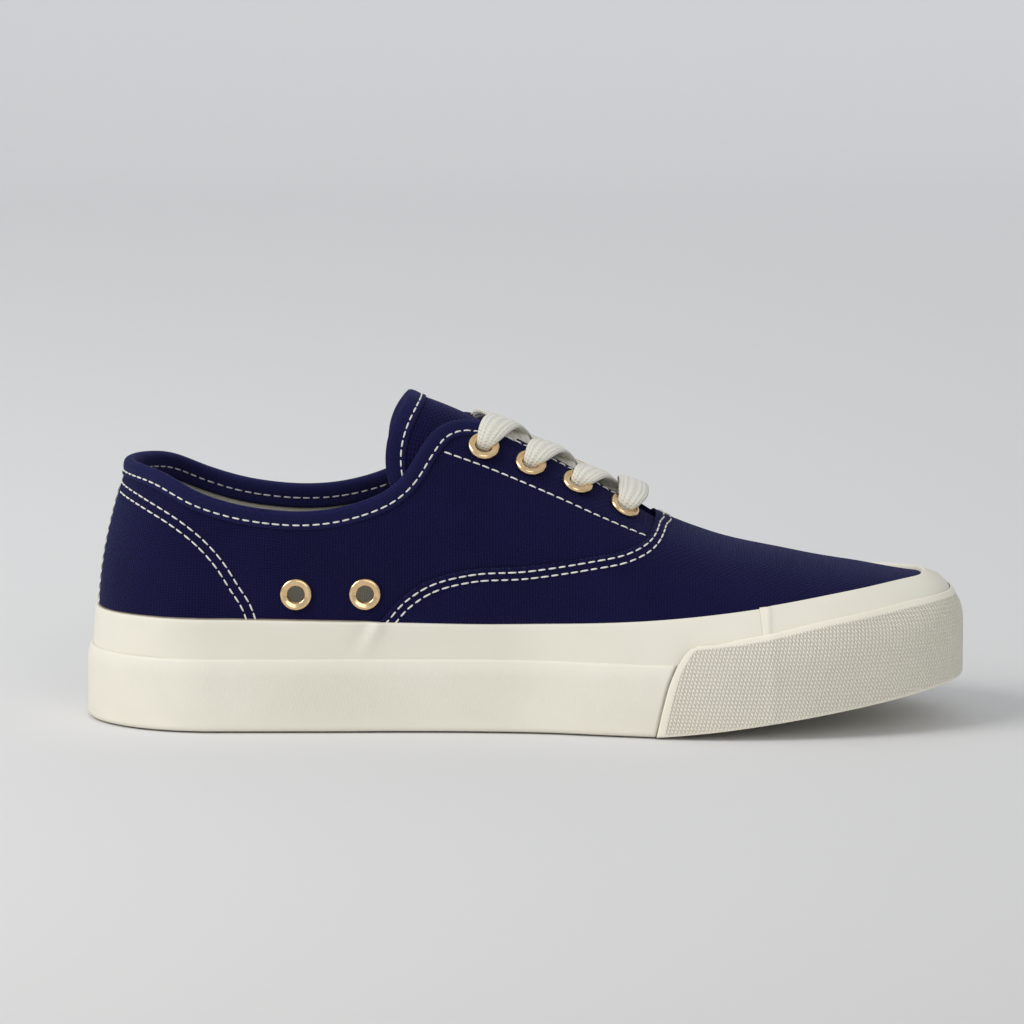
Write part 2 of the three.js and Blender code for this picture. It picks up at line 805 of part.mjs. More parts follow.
function tongueEdge(inside) {
  const points = tongueTopRows.map((row) => new THREE.Vector2(
    tongueTopX - row.back * tongueWidth, tongueTop - row.down * tongueWidth));
  return offsetLine(curveThrough(points, 10), inside);
}

// The space ahead of the tongue's top edge, moved towards its root by a distance
function aheadOfTongueTop(inside) {
  const edge = tongueEdge(inside);
  const first = edge[0];
  const last = edge[edge.length - 1];
  return sidePrism([
    ...edge,
    new THREE.Vector2(last.x, -far),
    new THREE.Vector2(far, -far),
    new THREE.Vector2(far, first.y + far),
    new THREE.Vector2(first.x, first.y + far),
  ]);
}

function tonguePlan(inside) {
  const medialHalf = column(tongueRows, 'medial');
  const lateralHalf = column(tongueRows, 'lateral');
  const medial = [];
  const lateral = [];
  const steps = 6;
  for (let i = 0; i <= steps; i += 1) {
    const x = mix(xAt(tongueRows[0].at), tongueFront, i / steps);
    const at = shareAt(x);
    medial.push(new THREE.Vector2(x, ridgeY(x) - medialHalf(at) * tongueWidth + inside));
    lateral.unshift(new THREE.Vector2(x, ridgeY(x) + lateralHalf(at) * tongueWidth - inside));
  }
  const floor = footLine(tongueTopX) + insoleThickness * 2;
  return planPrism([...medial, ...lateral], floor, far);
}

function tongueSheet(outside, inside) {
  return shell(outside, inside).intersect(tonguePlan(0));
}

function tongue() {
  const whole = tongueSheet(tongueOuter, tongueInner).intersect(aheadOfTongueTop(bindingWidth + gap));
  const middle = (tongueOuter + tongueInner) / 2;
  const spare = (tongueThickness - 2 * bindingTape - 2 * gap) / 2;
  const edge = tongueSheet(middle + spare, middle - spare).intersect(aheadOfTongueTop(bindingTape + gap));
  return whole.add(edge);
}

function tongueBinding() {
  const whole = tongueSheet(tongueOuter, tongueInner).intersect(aheadOfTongueTop(0));
  const strip = whole.subtract(aheadOfTongueTop(bindingWidth));
  const middle = (tongueOuter + tongueInner) / 2;
  const spare = (tongueThickness - 2 * bindingTape) / 2;
  const room = shell(middle + spare, middle - spare).intersect(aheadOfTongueTop(bindingTape));
  return strip.subtract(room);
}

function insole() {
  const bottom = footTopRaised;
  const top = offsetLine(footTop, gap + insoleThickness).reverse();
  return form(insideFace - gap).intersect(sidePrism([...bottom, ...top]));
}

// Eyelets: a rounded flange with a short barrel, as a closed ring

function eyeletGeometry() {
  const inside = eyeletHole / 2;
  const barrel = inside + eyeletBarrel;
  const flange = eyeletFlange / 2;
  const round = eyeletRim / 2;
  const depth = canvasWall + gap;
  const profile = [new THREE.Vector2(inside, -depth), new THREE.Vector2(barrel, -depth),
    new THREE.Vector2(barrel, eyeletLift)];
  const turns = 2;
  for (let i = 0; i <= turns; i += 1) {
    const angle = (i / turns - 0.5) * Math.PI;
    profile.push(new THREE.Vector2(
      flange - round + round * Math.cos(angle), eyeletLift + round + round * Math.sin(angle)));
  }
  profile.push(new THREE.Vector2(inside, eyeletLift + eyeletRim / 2));
  profile.push(profile[0].clone());
  const geometry = new THREE.LatheGeometry(profile, eyeletSides);
  geometry.rotateX(Math.PI / 2);
  return geometry;
}

// Lace: a flat ribbon along a curve, its face turned to the shoe's own surface

function ribbon(points) {
  const curve = new THREE.CatmullRomCurve3(points);
  const steps = 8;
  const sides = 6;
  const rings = [];
  for (let i = 0; i <= steps; i += 1) {
    const at = curve.getPoint(i / steps);
    const along = curve.getTangent(i / steps);
    const up = crownNormal(at.x, at.y);
    const across = new THREE.Vector3().crossVectors(along, up).normalize();
    const thick = new THREE.Vector3().crossVectors(across, along).normalize();
    const ring = [];
    for (let j = 0; j < sides; j += 1) {
      const angle = j / sides * 2 * Math.PI;
      ring.push(at.clone()
        .addScaledVector(across, laceWidth / 2 * Math.cos(angle))
        .addScaledVector(thick, laceThickness / 2 * Math.sin(angle)));
    }
    rings.push(ring);
  }
  return loftOf(rings);
}

// A point at a height over the crown, measured square to it
function overShoe(x, aside, height) {
  const y = ridgeY(x) + aside;
  return new THREE.Vector3(x, y, crownHeight(x, y, 0)).addScaledVector(crownNormal(x, y), height);
}

// A length of lace in one row of eyelets, its first end on a given side
function laceLength(rows, row, side) {
  const start = eyeletFirst + row * eyeletPitch;
  const clear = eyeletLift + eyeletRim + gap + laceThickness / 2;
  const reach = throatHalf(start) + eyeletEdge;
  return ribbon(rows.map((place) => overShoe(
    start + place.along * eyeletPitch, side * place.aside * reach, place.high * clear)));
}

// Materials

function material(color, roughness, metalness = 0) {
  return () => new THREE.MeshStandardMaterial({ color, roughness, metalness });
}

const canvas = material(0x1d1f4a, 0.95);
const tapeCloth = material(0x2a2d5f, 0.9);
const rubber = material(0xe9e3d3, 0.6);
const soleRubber = material(0xded7c4, 0.7);
const lining = material(0xe6dfcf, 0.95);
const cotton = material(0xe8e6da, 0.95);
const gold = material(0xd9b36a, 0.25, 1);

const group = new THREE.Group();

function addSolid(name, solid, paint) {
  const data = solid.getMesh();
  const geometry = new THREE.BufferGeometry();
  const positions = new Float32Array(data.numVert * 3);
  for (let i = 0; i < data.numVert; i += 1) {
    for (let k = 0; k < 3; k += 1) positions[3 * i + k] = data.vertProperties[i * data.numProp + k];
  }
  geometry.setAttribute('position', new THREE.BufferAttribute(positions, 3));
  geometry.setIndex(new THREE.BufferAttribute(new Uint32Array(data.triVerts), 1));
  geometry.computeVertexNormals();
  const mesh = new THREE.Mesh(geometry, paint());
  mesh.name = name;
  group.add(mesh);
  return mesh;
}

addSolid('outsole', outsole(), soleRubber);
addSolid('foxing_tape', foxingTape(), rubber);
addSolid('front_tape', frontTape(), rubber);
addSolid('side_band', sideBand(), rubber);
addSolid('toe_bumper', toeBumper(), rubber);
addSolid('upper', upper(), canvas);
addSolid('collar_binding', collarBinding(), tapeCloth);
addSolid('tongue', tongue(), canvas);
addSolid('tongue_binding', tongueBinding(), tapeCloth);
addSolid('insole', insole(), lining);

for (const eyelet of [...laceEyelets, ...ventEyelets]) {
  const mesh = new THREE.Mesh(eyeletGeometry(), gold());
  mesh.name = eyelet.name;
  mesh.position.copy(eyelet.at);
  mesh.quaternion.copy(eyelet.turn);
  group.add(mesh);
}

for (let row = 0; row + 1 < eyeletCount; row += 1) {
  const halves = [-1, 1].map((side) => laceLength(crossingRows, row, side));
  addSolid(`lace_crossing_${row + 1}`, halves[0].add(halves[1]), cotton);
}
addSolid('lace_bar', laceLength(barRows, eyeletCount - 1, 1), cotton);

// The origin is below the middle of the whole shoe's box
const box = new THREE.Box3().setFromObject(group);
group.position.set(-(box.min.x + box.max.x) / 2, -(box.min.y + box.max.y) / 2, -box.min.z);

export default group;
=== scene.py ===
# Left low-top canvas sneaker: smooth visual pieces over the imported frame.
# The last's own function is repeated here, in millimetres, and turned into metres at the end.

import math

import bpy
import numpy as np
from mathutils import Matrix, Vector
from mathutils.bvhtree import BVHTree


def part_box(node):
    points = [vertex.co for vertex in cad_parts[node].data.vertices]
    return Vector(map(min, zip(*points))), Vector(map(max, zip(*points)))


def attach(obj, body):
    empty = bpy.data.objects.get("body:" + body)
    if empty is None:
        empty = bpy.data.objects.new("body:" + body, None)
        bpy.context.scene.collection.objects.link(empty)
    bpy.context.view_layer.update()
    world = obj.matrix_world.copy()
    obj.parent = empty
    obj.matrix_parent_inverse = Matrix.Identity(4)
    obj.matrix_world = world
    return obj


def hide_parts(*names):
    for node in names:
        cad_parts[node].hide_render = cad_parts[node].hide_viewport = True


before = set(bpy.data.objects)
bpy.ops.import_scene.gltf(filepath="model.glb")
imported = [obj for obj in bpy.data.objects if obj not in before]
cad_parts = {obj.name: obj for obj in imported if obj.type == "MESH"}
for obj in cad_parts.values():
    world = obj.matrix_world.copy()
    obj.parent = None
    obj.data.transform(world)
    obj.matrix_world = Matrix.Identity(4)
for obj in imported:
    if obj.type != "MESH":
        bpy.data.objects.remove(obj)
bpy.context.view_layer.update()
rng = np.random.default_rng(7)
MM = 0.001
UV_MM = 0.01

# Driving sizes of the part, in millimetres

SOLE_LENGTH, BALL_WIDTH, HEEL_WIDTH = 265.4, 95.0, 68.0
HEEL_THICKNESS, FORE_THICKNESS = 23.0, 14.5
TOE_SPRING, SPRING_LENGTH, SPRING_POWER = 14.5, 94.0, 1.2
INSTEP_RISE, TOE_RISE, WALL = 75.0, 16.9, 1.8
HEEL_LEAN, LEAN_POWER, LEAN_START = 9.7, 1.75, 32.0
COLLAR_BACK, COLLAR_DIP, EYESTAY_TOP = 78.8, 66.5, 93.2
THROAT_FRONT, THROAT_TOP_WIDTH, THROAT_FRONT_WIDTH = 42.0, 18.6, 12.0
HEEL_ROUND, TOE_ROUND, TOE_BOX_ROUND = 36.0, 78.0, 11.0
TOE_PLAN_POWER, TOE_BOX_POWER = 2.3, 2.5
GAP, TAPE, FRONT_STEP, FRONT_RISE = 0.3, 1.7, 0.3, 0.5
TAPE_HEEL_HEIGHT, TAPE_TOE_HEIGHT, TAPE_JOINT_AHEAD = 34.0, 45.2, 32.0
BAND, BAND_HEIGHT, STRIP_LIFT = 1.3, 22.3, 0.6
BUMPER, BUMPER_BACK, BUMPER_SLANT, BUMPER_END, BUMPER_TOE = 1.8, 93.7, 13.5, 28.7, 43.5
TONGUE, TONGUE_WIDTH, TONGUE_TOP, TONGUE_FRONT, INSOLE = 3.0, 44.0, 98.5, 48.0, 4.0
EYELETS, EYELET_FIRST, EYELET_PITCH, EYELET_EDGE = 4, -12.4, 14.0, 6.4
HOLE = 5.0
VENT_FIRST, VENT_PITCH, VENT_HEIGHT = -68.3, 20.6, 41.6
STITCH_PITCH = 3.0
TAPE_IN, STRIP_SINK, BEAD_RADIUS, JOINT_LEVEL = 0.05, 0.25, 0.3, 25.0

TAPE_OUT = GAP + TAPE
FRONT_OUT = TAPE_OUT + FRONT_STEP
BAND_IN = TAPE_OUT + GAP
BAND_OUT = BAND_IN + BAND
BUMPER_IN = FRONT_OUT + GAP
BUMPER_OUT = BUMPER_IN + BUMPER
HEEL_END = -SOLE_LENGTH / 2 + BAND_OUT
TOE_END = SOLE_LENGTH / 2 - BUMPER_OUT
LAST_LENGTH = TOE_END - HEEL_END
HEEL_HALF = HEEL_WIDTH / 2 - BAND_OUT
BALL_HALF = BALL_WIDTH / 2 - BUMPER_OUT
SPRING_START = TOE_END + BUMPER_OUT - SPRING_LENGTH
HEEL_CENTRE = HEEL_END + HEEL_ROUND
TOE_CENTRE = TOE_END - TOE_ROUND
TOE_BOX_CENTRE = TOE_END - TOE_BOX_ROUND

# Tables, a row for each section. at is the share of the last's length from the heel.

SECTION_NAMES = ("at", "ridge", "fore", "medial", "lateral", "instep", "toe", "inner", "outer")
SECTIONS = [
    (0.0, 0, 0, 1.0, 1.0, 1.19, 0, 3.0, 3.0),
    (0.144, 0, 0, 1.0, 1.0, 1.213, 0, 3.0, 3.0),
    (0.268, -0.01, 0, 0.965, 1.05, 1.16, 0, 3.0, 2.9),
    (0.366, -0.035, 0.05, 0.855, 1.18, 1.065, 0, 2.7, 2.4),
    (0.443, -0.045, 0.15, 0.805, 1.18, 0.972, 0, 2.5, 2.1),
    (0.521, -0.053, 0.35, 0.775, 1.2, 0.85, 0, 2.5, 2.0),
    (0.599, -0.053, 0.6, 0.83, 1.21, 0.67, 0.2, 2.4, 2.0),
    (0.669, -0.049, 0.85, 0.865, 1.16, 0.43, 0.7, 2.3, 2.1),
    (0.716, -0.048, 1, 0.87, 1.107, 0.3, 1, 2.2, 2.1),
    (0.794, -0.058, 1, 0.875, 1.09, 0.195, 1, 2.2, 2.1),
    (0.88, -0.068, 1, 0.865, 1.09, 0.095, 1, 2.3, 2.2),
    (1.0, -0.079, 1, 0.858, 1.09, 0, 0.95, 2.3, 2.3),
]
COLLAR_NAMES = ("at", "back", "front", "outer")
COLLAR = [
    (-0.03, 1.02, 0, 0),
    (0.05, 1.0, 0, 0),
    (0.079, 0.89, 0, 0),
    (0.127, 0.436, 0, 0),
    (0.176, 0.14, 0, 0),
    (0.242, 0, 0, 0),
    (0.294, 0, 0.06, 0.05),
    (0.341, 0, 0.228, 0.2),
    (0.363, 0, 0.42, 0.36),
    (0.378, 0, 0.65, 0.54),
    (0.398, 0, 0.89, 0.8),
    (0.422, 0, 0.965, 0.9),
    (0.459, 0, 0.905, 0.87),
]
TAPE_NAMES = ("at", "heel", "toe")
TAPE_TOP = [
    (-0.1, 1.0, 0),
    (0.18, 1.0, 0),
    (0.32, 0.98, 0),
    (0.474, 0.965, 0),
    (0.645, 0.88, 0.115),
    (0.774, 0.6, 0.41),
    (0.878, 0.25, 0.765),
    (0.94, 0.04, 0.97),
    (1.05, 0, 1.04),
]
VAMP_EDGE = [(0.31, -0.2), (0.335, 0.02), (0.357, 0.24), (0.39, 0.43), (0.441, 0.545), (0.502, 0.575),
             (0.577, 0.665), (0.622, 0.735), (0.645, 0.84), (0.655, 1.0)]
BUMPER_END_ROWS = [(-0.12, -0.3), (0.0, 0.0), (0.15, 0.32), (0.33, 0.63), (0.52, 0.82), (0.73, 0.95),
                   (1.0, 1.0)]
BUMPER_TOP_ROWS = [(0, 0), (0.25, 0.235), (0.474, 0.493), (0.7, 0.68), (0.86, 0.79), (1.0, 0.83),
                   (1.15, 0.83)]
TONGUE_TOP_ROWS = [(-0.3, -0.6), (-0.03, -0.08), (0.04, 0.03), (0.11, 0.16), (0.15, 0.31), (0.14, 0.49),
                   (0.05, 0.68), (-0.12, 0.86)]

# Numbers and curves


def mix(a, b, t):
    return a + (b - a) * t


def smooth(t):
    t = np.clip(t, 0, 1)
    return t * t * (3 - 2 * t)


def unit(v):
    return v / np.maximum(np.linalg.norm(v, axis=-1, keepdims=True), 1e-12)


def column(rows, names, name):
    """One column of a table as a smooth function of its column at."""
    x = np.array([row[0] for row in rows], float)
    y = np.array([row[names.index(name)] for row in rows], float)
    slope = np.zeros(len(x))
    before = (y[1:-1] - y[:-2]) / (x[1:-1] - x[:-2])
    after = (y[2:] - y[1:-1]) / (x[2:] - x[1:-1])
    slope[1:-1] = mix(after, before, (x[2:] - x[1:-1]) / (x[2:] - x[:-2]))

    def value(at):
        at = np.clip(at, x[0], x[-1])
        i = np.clip(np.searchsorted(x, at) - 1, 0, len(x) - 2)
        span = x[i + 1] - x[i]
        t = (at - x[i]) / span
        a = y[i] * (1 + 2 * t) * (1 - t) ** 2 + y[i + 1] * (3 - 2 * t) * t ** 2
        b = slope[i] * t * (1 - t) ** 2 - slope[i + 1] * (1 - t) * t ** 2
        return a + b * span

    return value


def spline(points, count):
    """Centripetal Catmull-Rom curve through points of any dimension, evenly sampled by its parameter."""
    p = np.array(points, float)
    p = np.vstack([2 * p[0] - p[1], p, 2 * p[-1] - p[-2]])
    knots = np.concatenate([[0], np.cumsum(np.linalg.norm(np.diff(p, axis=0), axis=1) ** 0.5)])
    out = []
    for u in np.linspace(knots[1], knots[-2], count):
        i = int(np.clip(np.searchsorted(knots, u) - 1, 1, len(p) - 3))
        t0, t1, t2, t3 = knots[i - 1:i + 3]
        a1 = ((t1 - u) * p[i - 1] + (u - t0) * p[i]) / (t1 - t0)
        a2 = ((t2 - u) * p[i] + (u - t1) * p[i + 1]) / (t2 - t1)
        a3 = ((t3 - u) * p[i + 1] + (u - t2) * p[i + 2]) / (t3 - t2)
        b1 = ((t2 - u) * a1 + (u - t0) * a2) / (t2 - t0)
        b2 = ((t3 - u) * a2 + (u - t1) * a3) / (t3 - t1)
        out.append(((t2 - u) * b1 + (u - t1) * b2) / (t2 - t1))
    return np.array(out)


def lengths(points):
    return np.concatenate([[0], np.cumsum(np.linalg.norm(np.diff(points, axis=0), axis=1))])


def resample(points, step):
    along = lengths(points)
    count = max(2, int(round(along[-1] / step)) + 1)
    at = np.linspace(0, along[-1], count)
    return np.stack([np.interp(at, along, points[:, k]) for k in range(points.shape[1])], axis=1)


def tangents(points):
    return unit(np.gradient(points, axis=0))


def side_of(points, line):
    """Signed distance of 2-D points from a polyline, positive to the left of its direction."""
    best = np.full(len(points), 1e9)
    sign = np.ones(len(points))
    for a, b in zip(line[:-1], line[1:]):
        along = b - a
        t = np.clip(((points - a) @ along) / (along @ along), 0, 1)
        off = points - (a + t[:, None] * along)
        gap = np.linalg.norm(off, axis=1)
        cross = along[0] * (points[:, 1] - a[1]) - along[1] * (points[:, 0] - a[0])
        closer = gap < best - 1e-9
        best = np.where(closer, gap, best)
        sign = np.where(closer, np.where(cross >= 0, 1.0, -1.0), sign)
    return best * sign


# The last

COLUMNS = {name: column(SECTIONS, SECTION_NAMES, name) for name in SECTION_NAMES[1:]}


def share_at(x):
    return (x - HEEL_END) / LAST_LENGTH


def x_at(share):
    return HEEL_END + share * LAST_LENGTH


def sole_bottom(x):
    return TOE_SPRING * (np.maximum(0, x - SPRING_START) / SPRING_LENGTH) ** SPRING_POWER


def foot_line(x):
    return sole_bottom(x) + mix(HEEL_THICKNESS, FORE_THICKNESS, COLUMNS["fore"](share_at(x)))


def crown_rise(x):
    at = share_at(x)
    return COLUMNS["instep"](at) * INSTEP_RISE + COLUMNS["toe"](at) * TOE_RISE


def ridge_y(x):
    return COLUMNS["ridge"](share_at(x)) * BALL_WIDTH


def section(x, d):
    at = share_at(x)
    half = mix(HEEL_HALF, BALL_HALF, COLUMNS["fore"](at))
    behind = np.clip((HEEL_CENTRE - x) / (HEEL_ROUND + d), 0, 1)
    ahead = np.clip((x - TOE_CENTRE) / (TOE_ROUND + d), 0, 1)
    in_box = np.clip((x - TOE_BOX_CENTRE) / (TOE_BOX_ROUND + d), 0, 1)
    plan = np.sqrt(1 - behind ** 2) * (1 - ahead ** TOE_PLAN_POWER) ** (1 / TOE_PLAN_POWER)
    box = (1 - in_box ** TOE_BOX_POWER) ** (1 / TOE_BOX_POWER)
    slope = (foot_line(x + 1) + crown_rise(x + 1) - foot_line(x - 1) - crown_rise(x - 1)) / 2
    return {
        "ridge": ridge_y(x),
        "foot": foot_line(x),
        "medial": (COLUMNS["medial"](at) * half + d) * plan,
        "lateral": (COLUMNS["lateral"](at) * half + d) * plan,
        "rise": (crown_rise(x) + d * np.sqrt(1 + slope ** 2)) * box,
        "inner": COLUMNS["inner"](at),
        "outer": COLUMNS["outer"](at),
    }


def lean(x, z):
    up = np.maximum(0, z - LEAN_START) / (COLLAR_BACK - LEAN_START)
    return HEEL_LEAN * up ** LEAN_POWER * (1 - smooth((x - HEEL_END) / (HEEL_ROUND * 1.5)))


def place_x(p, d):
    """Place along the last: p runs 0 to 1 round the heel, to 2 along the waist, to 3 round the toe."""
    heel = HEEL_CENTRE - (HEEL_ROUND + d) * np.cos(np.clip(p, 0, 1) * np.pi / 2)
    middle = mix(HEEL_CENTRE, TOE_CENTRE, p - 1)
    toe = TOE_CENTRE + (TOE_ROUND + d) * np.sin(np.clip(p - 2, 0, 1) * np.pi / 2)
    return np.where(p < 1, heel, np.where(p < 2, middle, toe))


def crown(p, turn, d):
    """A point on the crown grown by d. turn is 0 at the medial foot line and 1 at the lateral one."""
    x = place_x(p, d)
    cut = section(x, d)
    medial = turn <= 0.5
    thin = np.maximum(cut["medial"], cut["lateral"]) < 1e-6
    power = np.where(medial | thin, cut["inner"], cut["outer"])
    reach = np.where(medial, -cut["medial"], cut["lateral"])
    y = cut["ridge"] + reach * np.abs(np.cos(turn * np.pi)) ** (2 / power)
    z = cut["foot"] + cut["rise"] * np.abs(np.sin(turn * np.pi)) ** (2 / power)
    return np.stack([x + lean(x, z), y, z], axis=-1)


def crown_height(x, y, d=0.0):
    cut = section(x, d)
    aside = y - cut["ridge"]
    reach = np.where(aside < 0, cut["medial"], cut["lateral"])
    power = np.where(aside < 0, cut["inner"], cut["outer"])
    share = np.minimum(1, np.abs(aside) / np.maximum(reach, 1e-9))
    return cut["foot"] + cut["rise"] * (1 - share ** power) ** (1 / power)


def half_reach(x, z, side, d):
    """Half width of the last at a height, on one side."""
    cut = section(x, d)
    reach = np.where(side < 0, cut["medial"], cut["lateral"])
    power = np.where(side < 0, cut["inner"], cut["outer"])
    share = np.clip((z - cut["foot"]) / np.maximum(cut["rise"], 1e-9), 0, 1)
    return reach * (1 - share ** power) ** (1 / power), cut["ridge"]


# Wall places: w runs 0 to 1 round the heel, to 2 along the waist and to 3 round the toe, on a given side

RAY_TOE = 62.0


def wall(w, side, z, d):
    """The point of the last grown by d at height z, on a ray square to its outline."""
    w, side, z, d = np.broadcast_arrays(*(np.asarray(v, float) for v in (w, side, z, d)))
    heel_turn = np.clip(w, 0, 1) * np.pi / 2
    toe_turn = (3 - np.clip(w, 2, 3)) * np.pi / 2
    start_x = np.where(w < 1, HEEL_CENTRE, np.where(w < 2, mix(HEEL_CENTRE, RAY_TOE, w - 1), RAY_TOE))
    start_y = ridge_y(start_x)
    ray_x = np.where(w < 1, -np.cos(heel_turn), np.where(w < 2, 0, np.cos(toe_turn)))
    ray_y = np.where(w < 1, np.sin(heel_turn), np.where(w < 2, 1, np.sin(toe_turn))) * side
    low = np.zeros(w.shape)
    high = np.full(w.shape, 110.0)
    for _ in range(22):
        r = (low + high) / 2
        x = start_x + ray_x * r
        y = start_y + ray_y * r
        ridge = ridge_y(x)
        reach, _ = half_reach(x, z, y - ridge, d)
        outside = np.abs(y - ridge) > reach
        high = np.where(outside, r, high)
        low = np.where(outside, low, r)
    r = (low + high) / 2
    x = start_x + ray_x * r
    return np.stack([x + lean(x, z), start_y + ray_y * r, z], axis=-1)


def wall_w(x):
    """The wall place of the straight stretch at x."""
    return 1 + (x - HEEL_CENTRE) / (RAY_TOE - HEEL_CENTRE)


# Edges seen from the side

tape_heel = column(TAPE_TOP, TAPE_NAMES, "heel")
tape_toe = column(TAPE_TOP, TAPE_NAMES, "toe")


def tape_top(x):
    at = share_at(x)
    return tape_heel(at) * TAPE_HEEL_HEIGHT + tape_toe(at) * TAPE_TOE_HEIGHT


def collar_line(name):
    climb = COLLAR_BACK - COLLAR_DIP
    k = COLLAR_NAMES.index(name)
    rise = EYESTAY_TOP - COLLAR_DIP
    points = [(x_at(row[0]), COLLAR_DIP + row[1] * climb + row[k] * rise) for row in COLLAR]
    return spline(points, 120)


COLLAR_LINES = {-1: collar_line("front"), 1: collar_line("outer")}
THROAT_TOP_X = x_at(0.45)


def collar_cut(side):
    """The collar's line with its end led on over the throat, for cutting."""
    line = COLLAR_LINES[side]
    return np.vstack([line, line[-1] + (8, -4), line[-1] + (60, 60)])


def throat_half(x):
    return mix(THROAT_TOP_WIDTH, THROAT_FRONT_WIDTH, (x - THROAT_TOP_X) / (THROAT_FRONT - THROAT_TOP_X)) / 2


throat_level = foot_line(THROAT_FRONT) + crown_rise(THROAT_FRONT) + 2
vamp_line = spline([(x_at(at), mix(tape_top(x_at(at)), throat_level, up)) for at, up in VAMP_EDGE], 90)
BUMPER_FOOT = SOLE_LENGTH / 2 - BUMPER_BACK
TAPE_JOINT = BUMPER_FOOT + TAPE_JOINT_AHEAD
bumper_end = spline([(BUMPER_FOOT + s * BUMPER_SLANT, u * BUMPER_END) for s, u in BUMPER_END_ROWS], 40)
bumper_top = spline([(mix(BUMPER_FOOT + BUMPER_SLANT, SOLE_LENGTH / 2, a), mix(BUMPER_END, BUMPER_TOE, u))
                     for a, u in BUMPER_TOP_ROWS], 60)


def bumper_height(x):
    return np.interp(x, bumper_top[:, 0], bumper_top[:, 1])


def bumper_back(z):
    return np.interp(z, bumper_end[:, 1], bumper_end[:, 0])


# The CAD is centred on its own box, so its sideways shift is read off the outsole


def cad_shift():
    """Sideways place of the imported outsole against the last, at the corners that it is built from."""
    turns = np.linspace(0, 1, 6)[:5]
    x = np.concatenate([HEEL_CENTRE - HEEL_ROUND * np.sin((1 - turns) * np.pi / 2),
                        np.linspace(HEEL_CENTRE, TOE_CENTRE, 10, endpoint=False),
                        TOE_CENTRE + TOE_ROUND * np.sin(np.linspace(0, np.pi / 2, 9))])
    cut = section(x, 0)
    low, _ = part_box("outsole")
    return low[1] / MM - (cut["ridge"] - cut["medial"]).min()


SHIFT = np.array([0, cad_shift(), 0])


def metres(points):
    return (np.asarray(points) + SHIFT) * MM


# Meshes


def new_object(name, verts, faces, material, replaces=(), slot=None, uv=None, parts=None,
               mask=None):
    """A piece from points in millimetres. material is one or a list, and parts the material of each face."""
    mesh = bpy.data.meshes.new(name)
    mesh.from_pydata(metres(verts).tolist(), [], faces)
    for each in material if isinstance(material, list) else [material]:
        mesh.materials.append(each)
    if parts is not None:
        mesh.polygons.foreach_set("material_index", np.asarray(parts, dtype=np.int32))
    if uv is not None:
        layer = mesh.uv_layers.new(name="UVMap")
        loops = np.empty(len(mesh.loops), dtype=np.int32)
        mesh.loops.foreach_get("vertex_index", loops)
        layer.data.foreach_set("uv", np.asarray(uv)[loops].astype(np.float32).ravel())
    if mask is not None:
        shade = mesh.color_attributes.new("knurl", "FLOAT_COLOR", "POINT")
        shade.data.foreach_set("color", np.repeat(mask.ravel(), 4).astype(np.float32))
    mesh.shade_smooth()
    mesh.update()
    obj = bpy.data.objects.new(name, mesh)
    bpy.context.scene.collection.objects.link(obj)
    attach(obj, "root")
    if replaces:
        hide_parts(*replaces)
    return obj


def grid_faces(rows, cols, close_rows=False, close_cols=False, start=0):
    faces = []
    for i in range(rows if close_rows else rows - 1):
        for j in range(cols if close_cols else cols - 1):
            a = start + i * cols + j
            b = start + i * cols + (j + 1) % cols
            c = start + (i + 1) % rows * cols + (j + 1) % cols
            d = start + (i + 1) % rows * cols + j
            faces.append((a, b, c, d))
    return faces


def tube(name, rings, material, closed=False, uv=None, **more):
    """A closed body through rings of points, shape (rings, points, 3), with capped ends unless closed."""
    count, size, _ = rings.shape
    faces = grid_faces(count, size, close_rows=closed, close_cols=True)
    if not closed:
        faces.append(tuple(range(size - 1, -1, -1)))
        faces.append(tuple((count - 1) * size + j for j in range(size)))
    verts = rings.reshape(-1, 3)
    if signed_volume(verts, faces) < 0:
        faces = [face[::-1] for face in faces]
    return new_object(name, verts, faces, material, uv=None if uv is None else uv.reshape(-1, 2), **more)


def ring_uv(rings, along, around):
    """A UV for rings of points, from a value for each ring and a value for each place in it."""
    shape = rings.shape[:2]
    return np.stack([np.broadcast_to(along[:, None], shape),
                     np.broadcast_to(around[None, :], shape)], axis=-1)


def signed_volume(verts, faces):
    total = 0.0
    for face in faces:
        a = verts[face[0]]
        for j in range(1, len(face) - 1):
            total += np.dot(a, np.cross(verts[face[j]], verts[face[j + 1]]))
    return total


# The canvas skin: a dense grid of the crown, used to lay seams, bindings and laces on it


def even_turns(p, count):
    """Turns of each section at p that lie at even shares of its girth, the ridge in the middle."""
    fine = np.linspace(0, 1, 401)
    points = crown(p[:, None], fine[None, :], 0.0)
    girth = np.linalg.norm(np.diff(points, axis=1), axis=2)
    out = np.empty((len(p), count))
    half = count // 2
    for i in range(len(p)):
        along = np.concatenate([[0], np.cumsum(girth[i])])
        middle = along[200]
        want = np.concatenate([np.linspace(0, middle, half + 1),
                               np.linspace(middle, along[-1], half + 1)[1:]])
        out[i] = np.interp(want, along, fine)
    return out


places = np.concatenate([np.linspace(0, 1, 44, endpoint=False), np.linspace(1, 2, 110, endpoint=False),
                         np.linspace(2, 3, 90)])
GIRTH = 129
turns = even_turns(places, GIRTH)
skin = crown(places[:, None], turns, 0.0)


def grid_normals(points):
    u = np.gradient(points, axis=0)
    v = np.gradient(points, axis=1)
    return unit(np.cross(u, v))


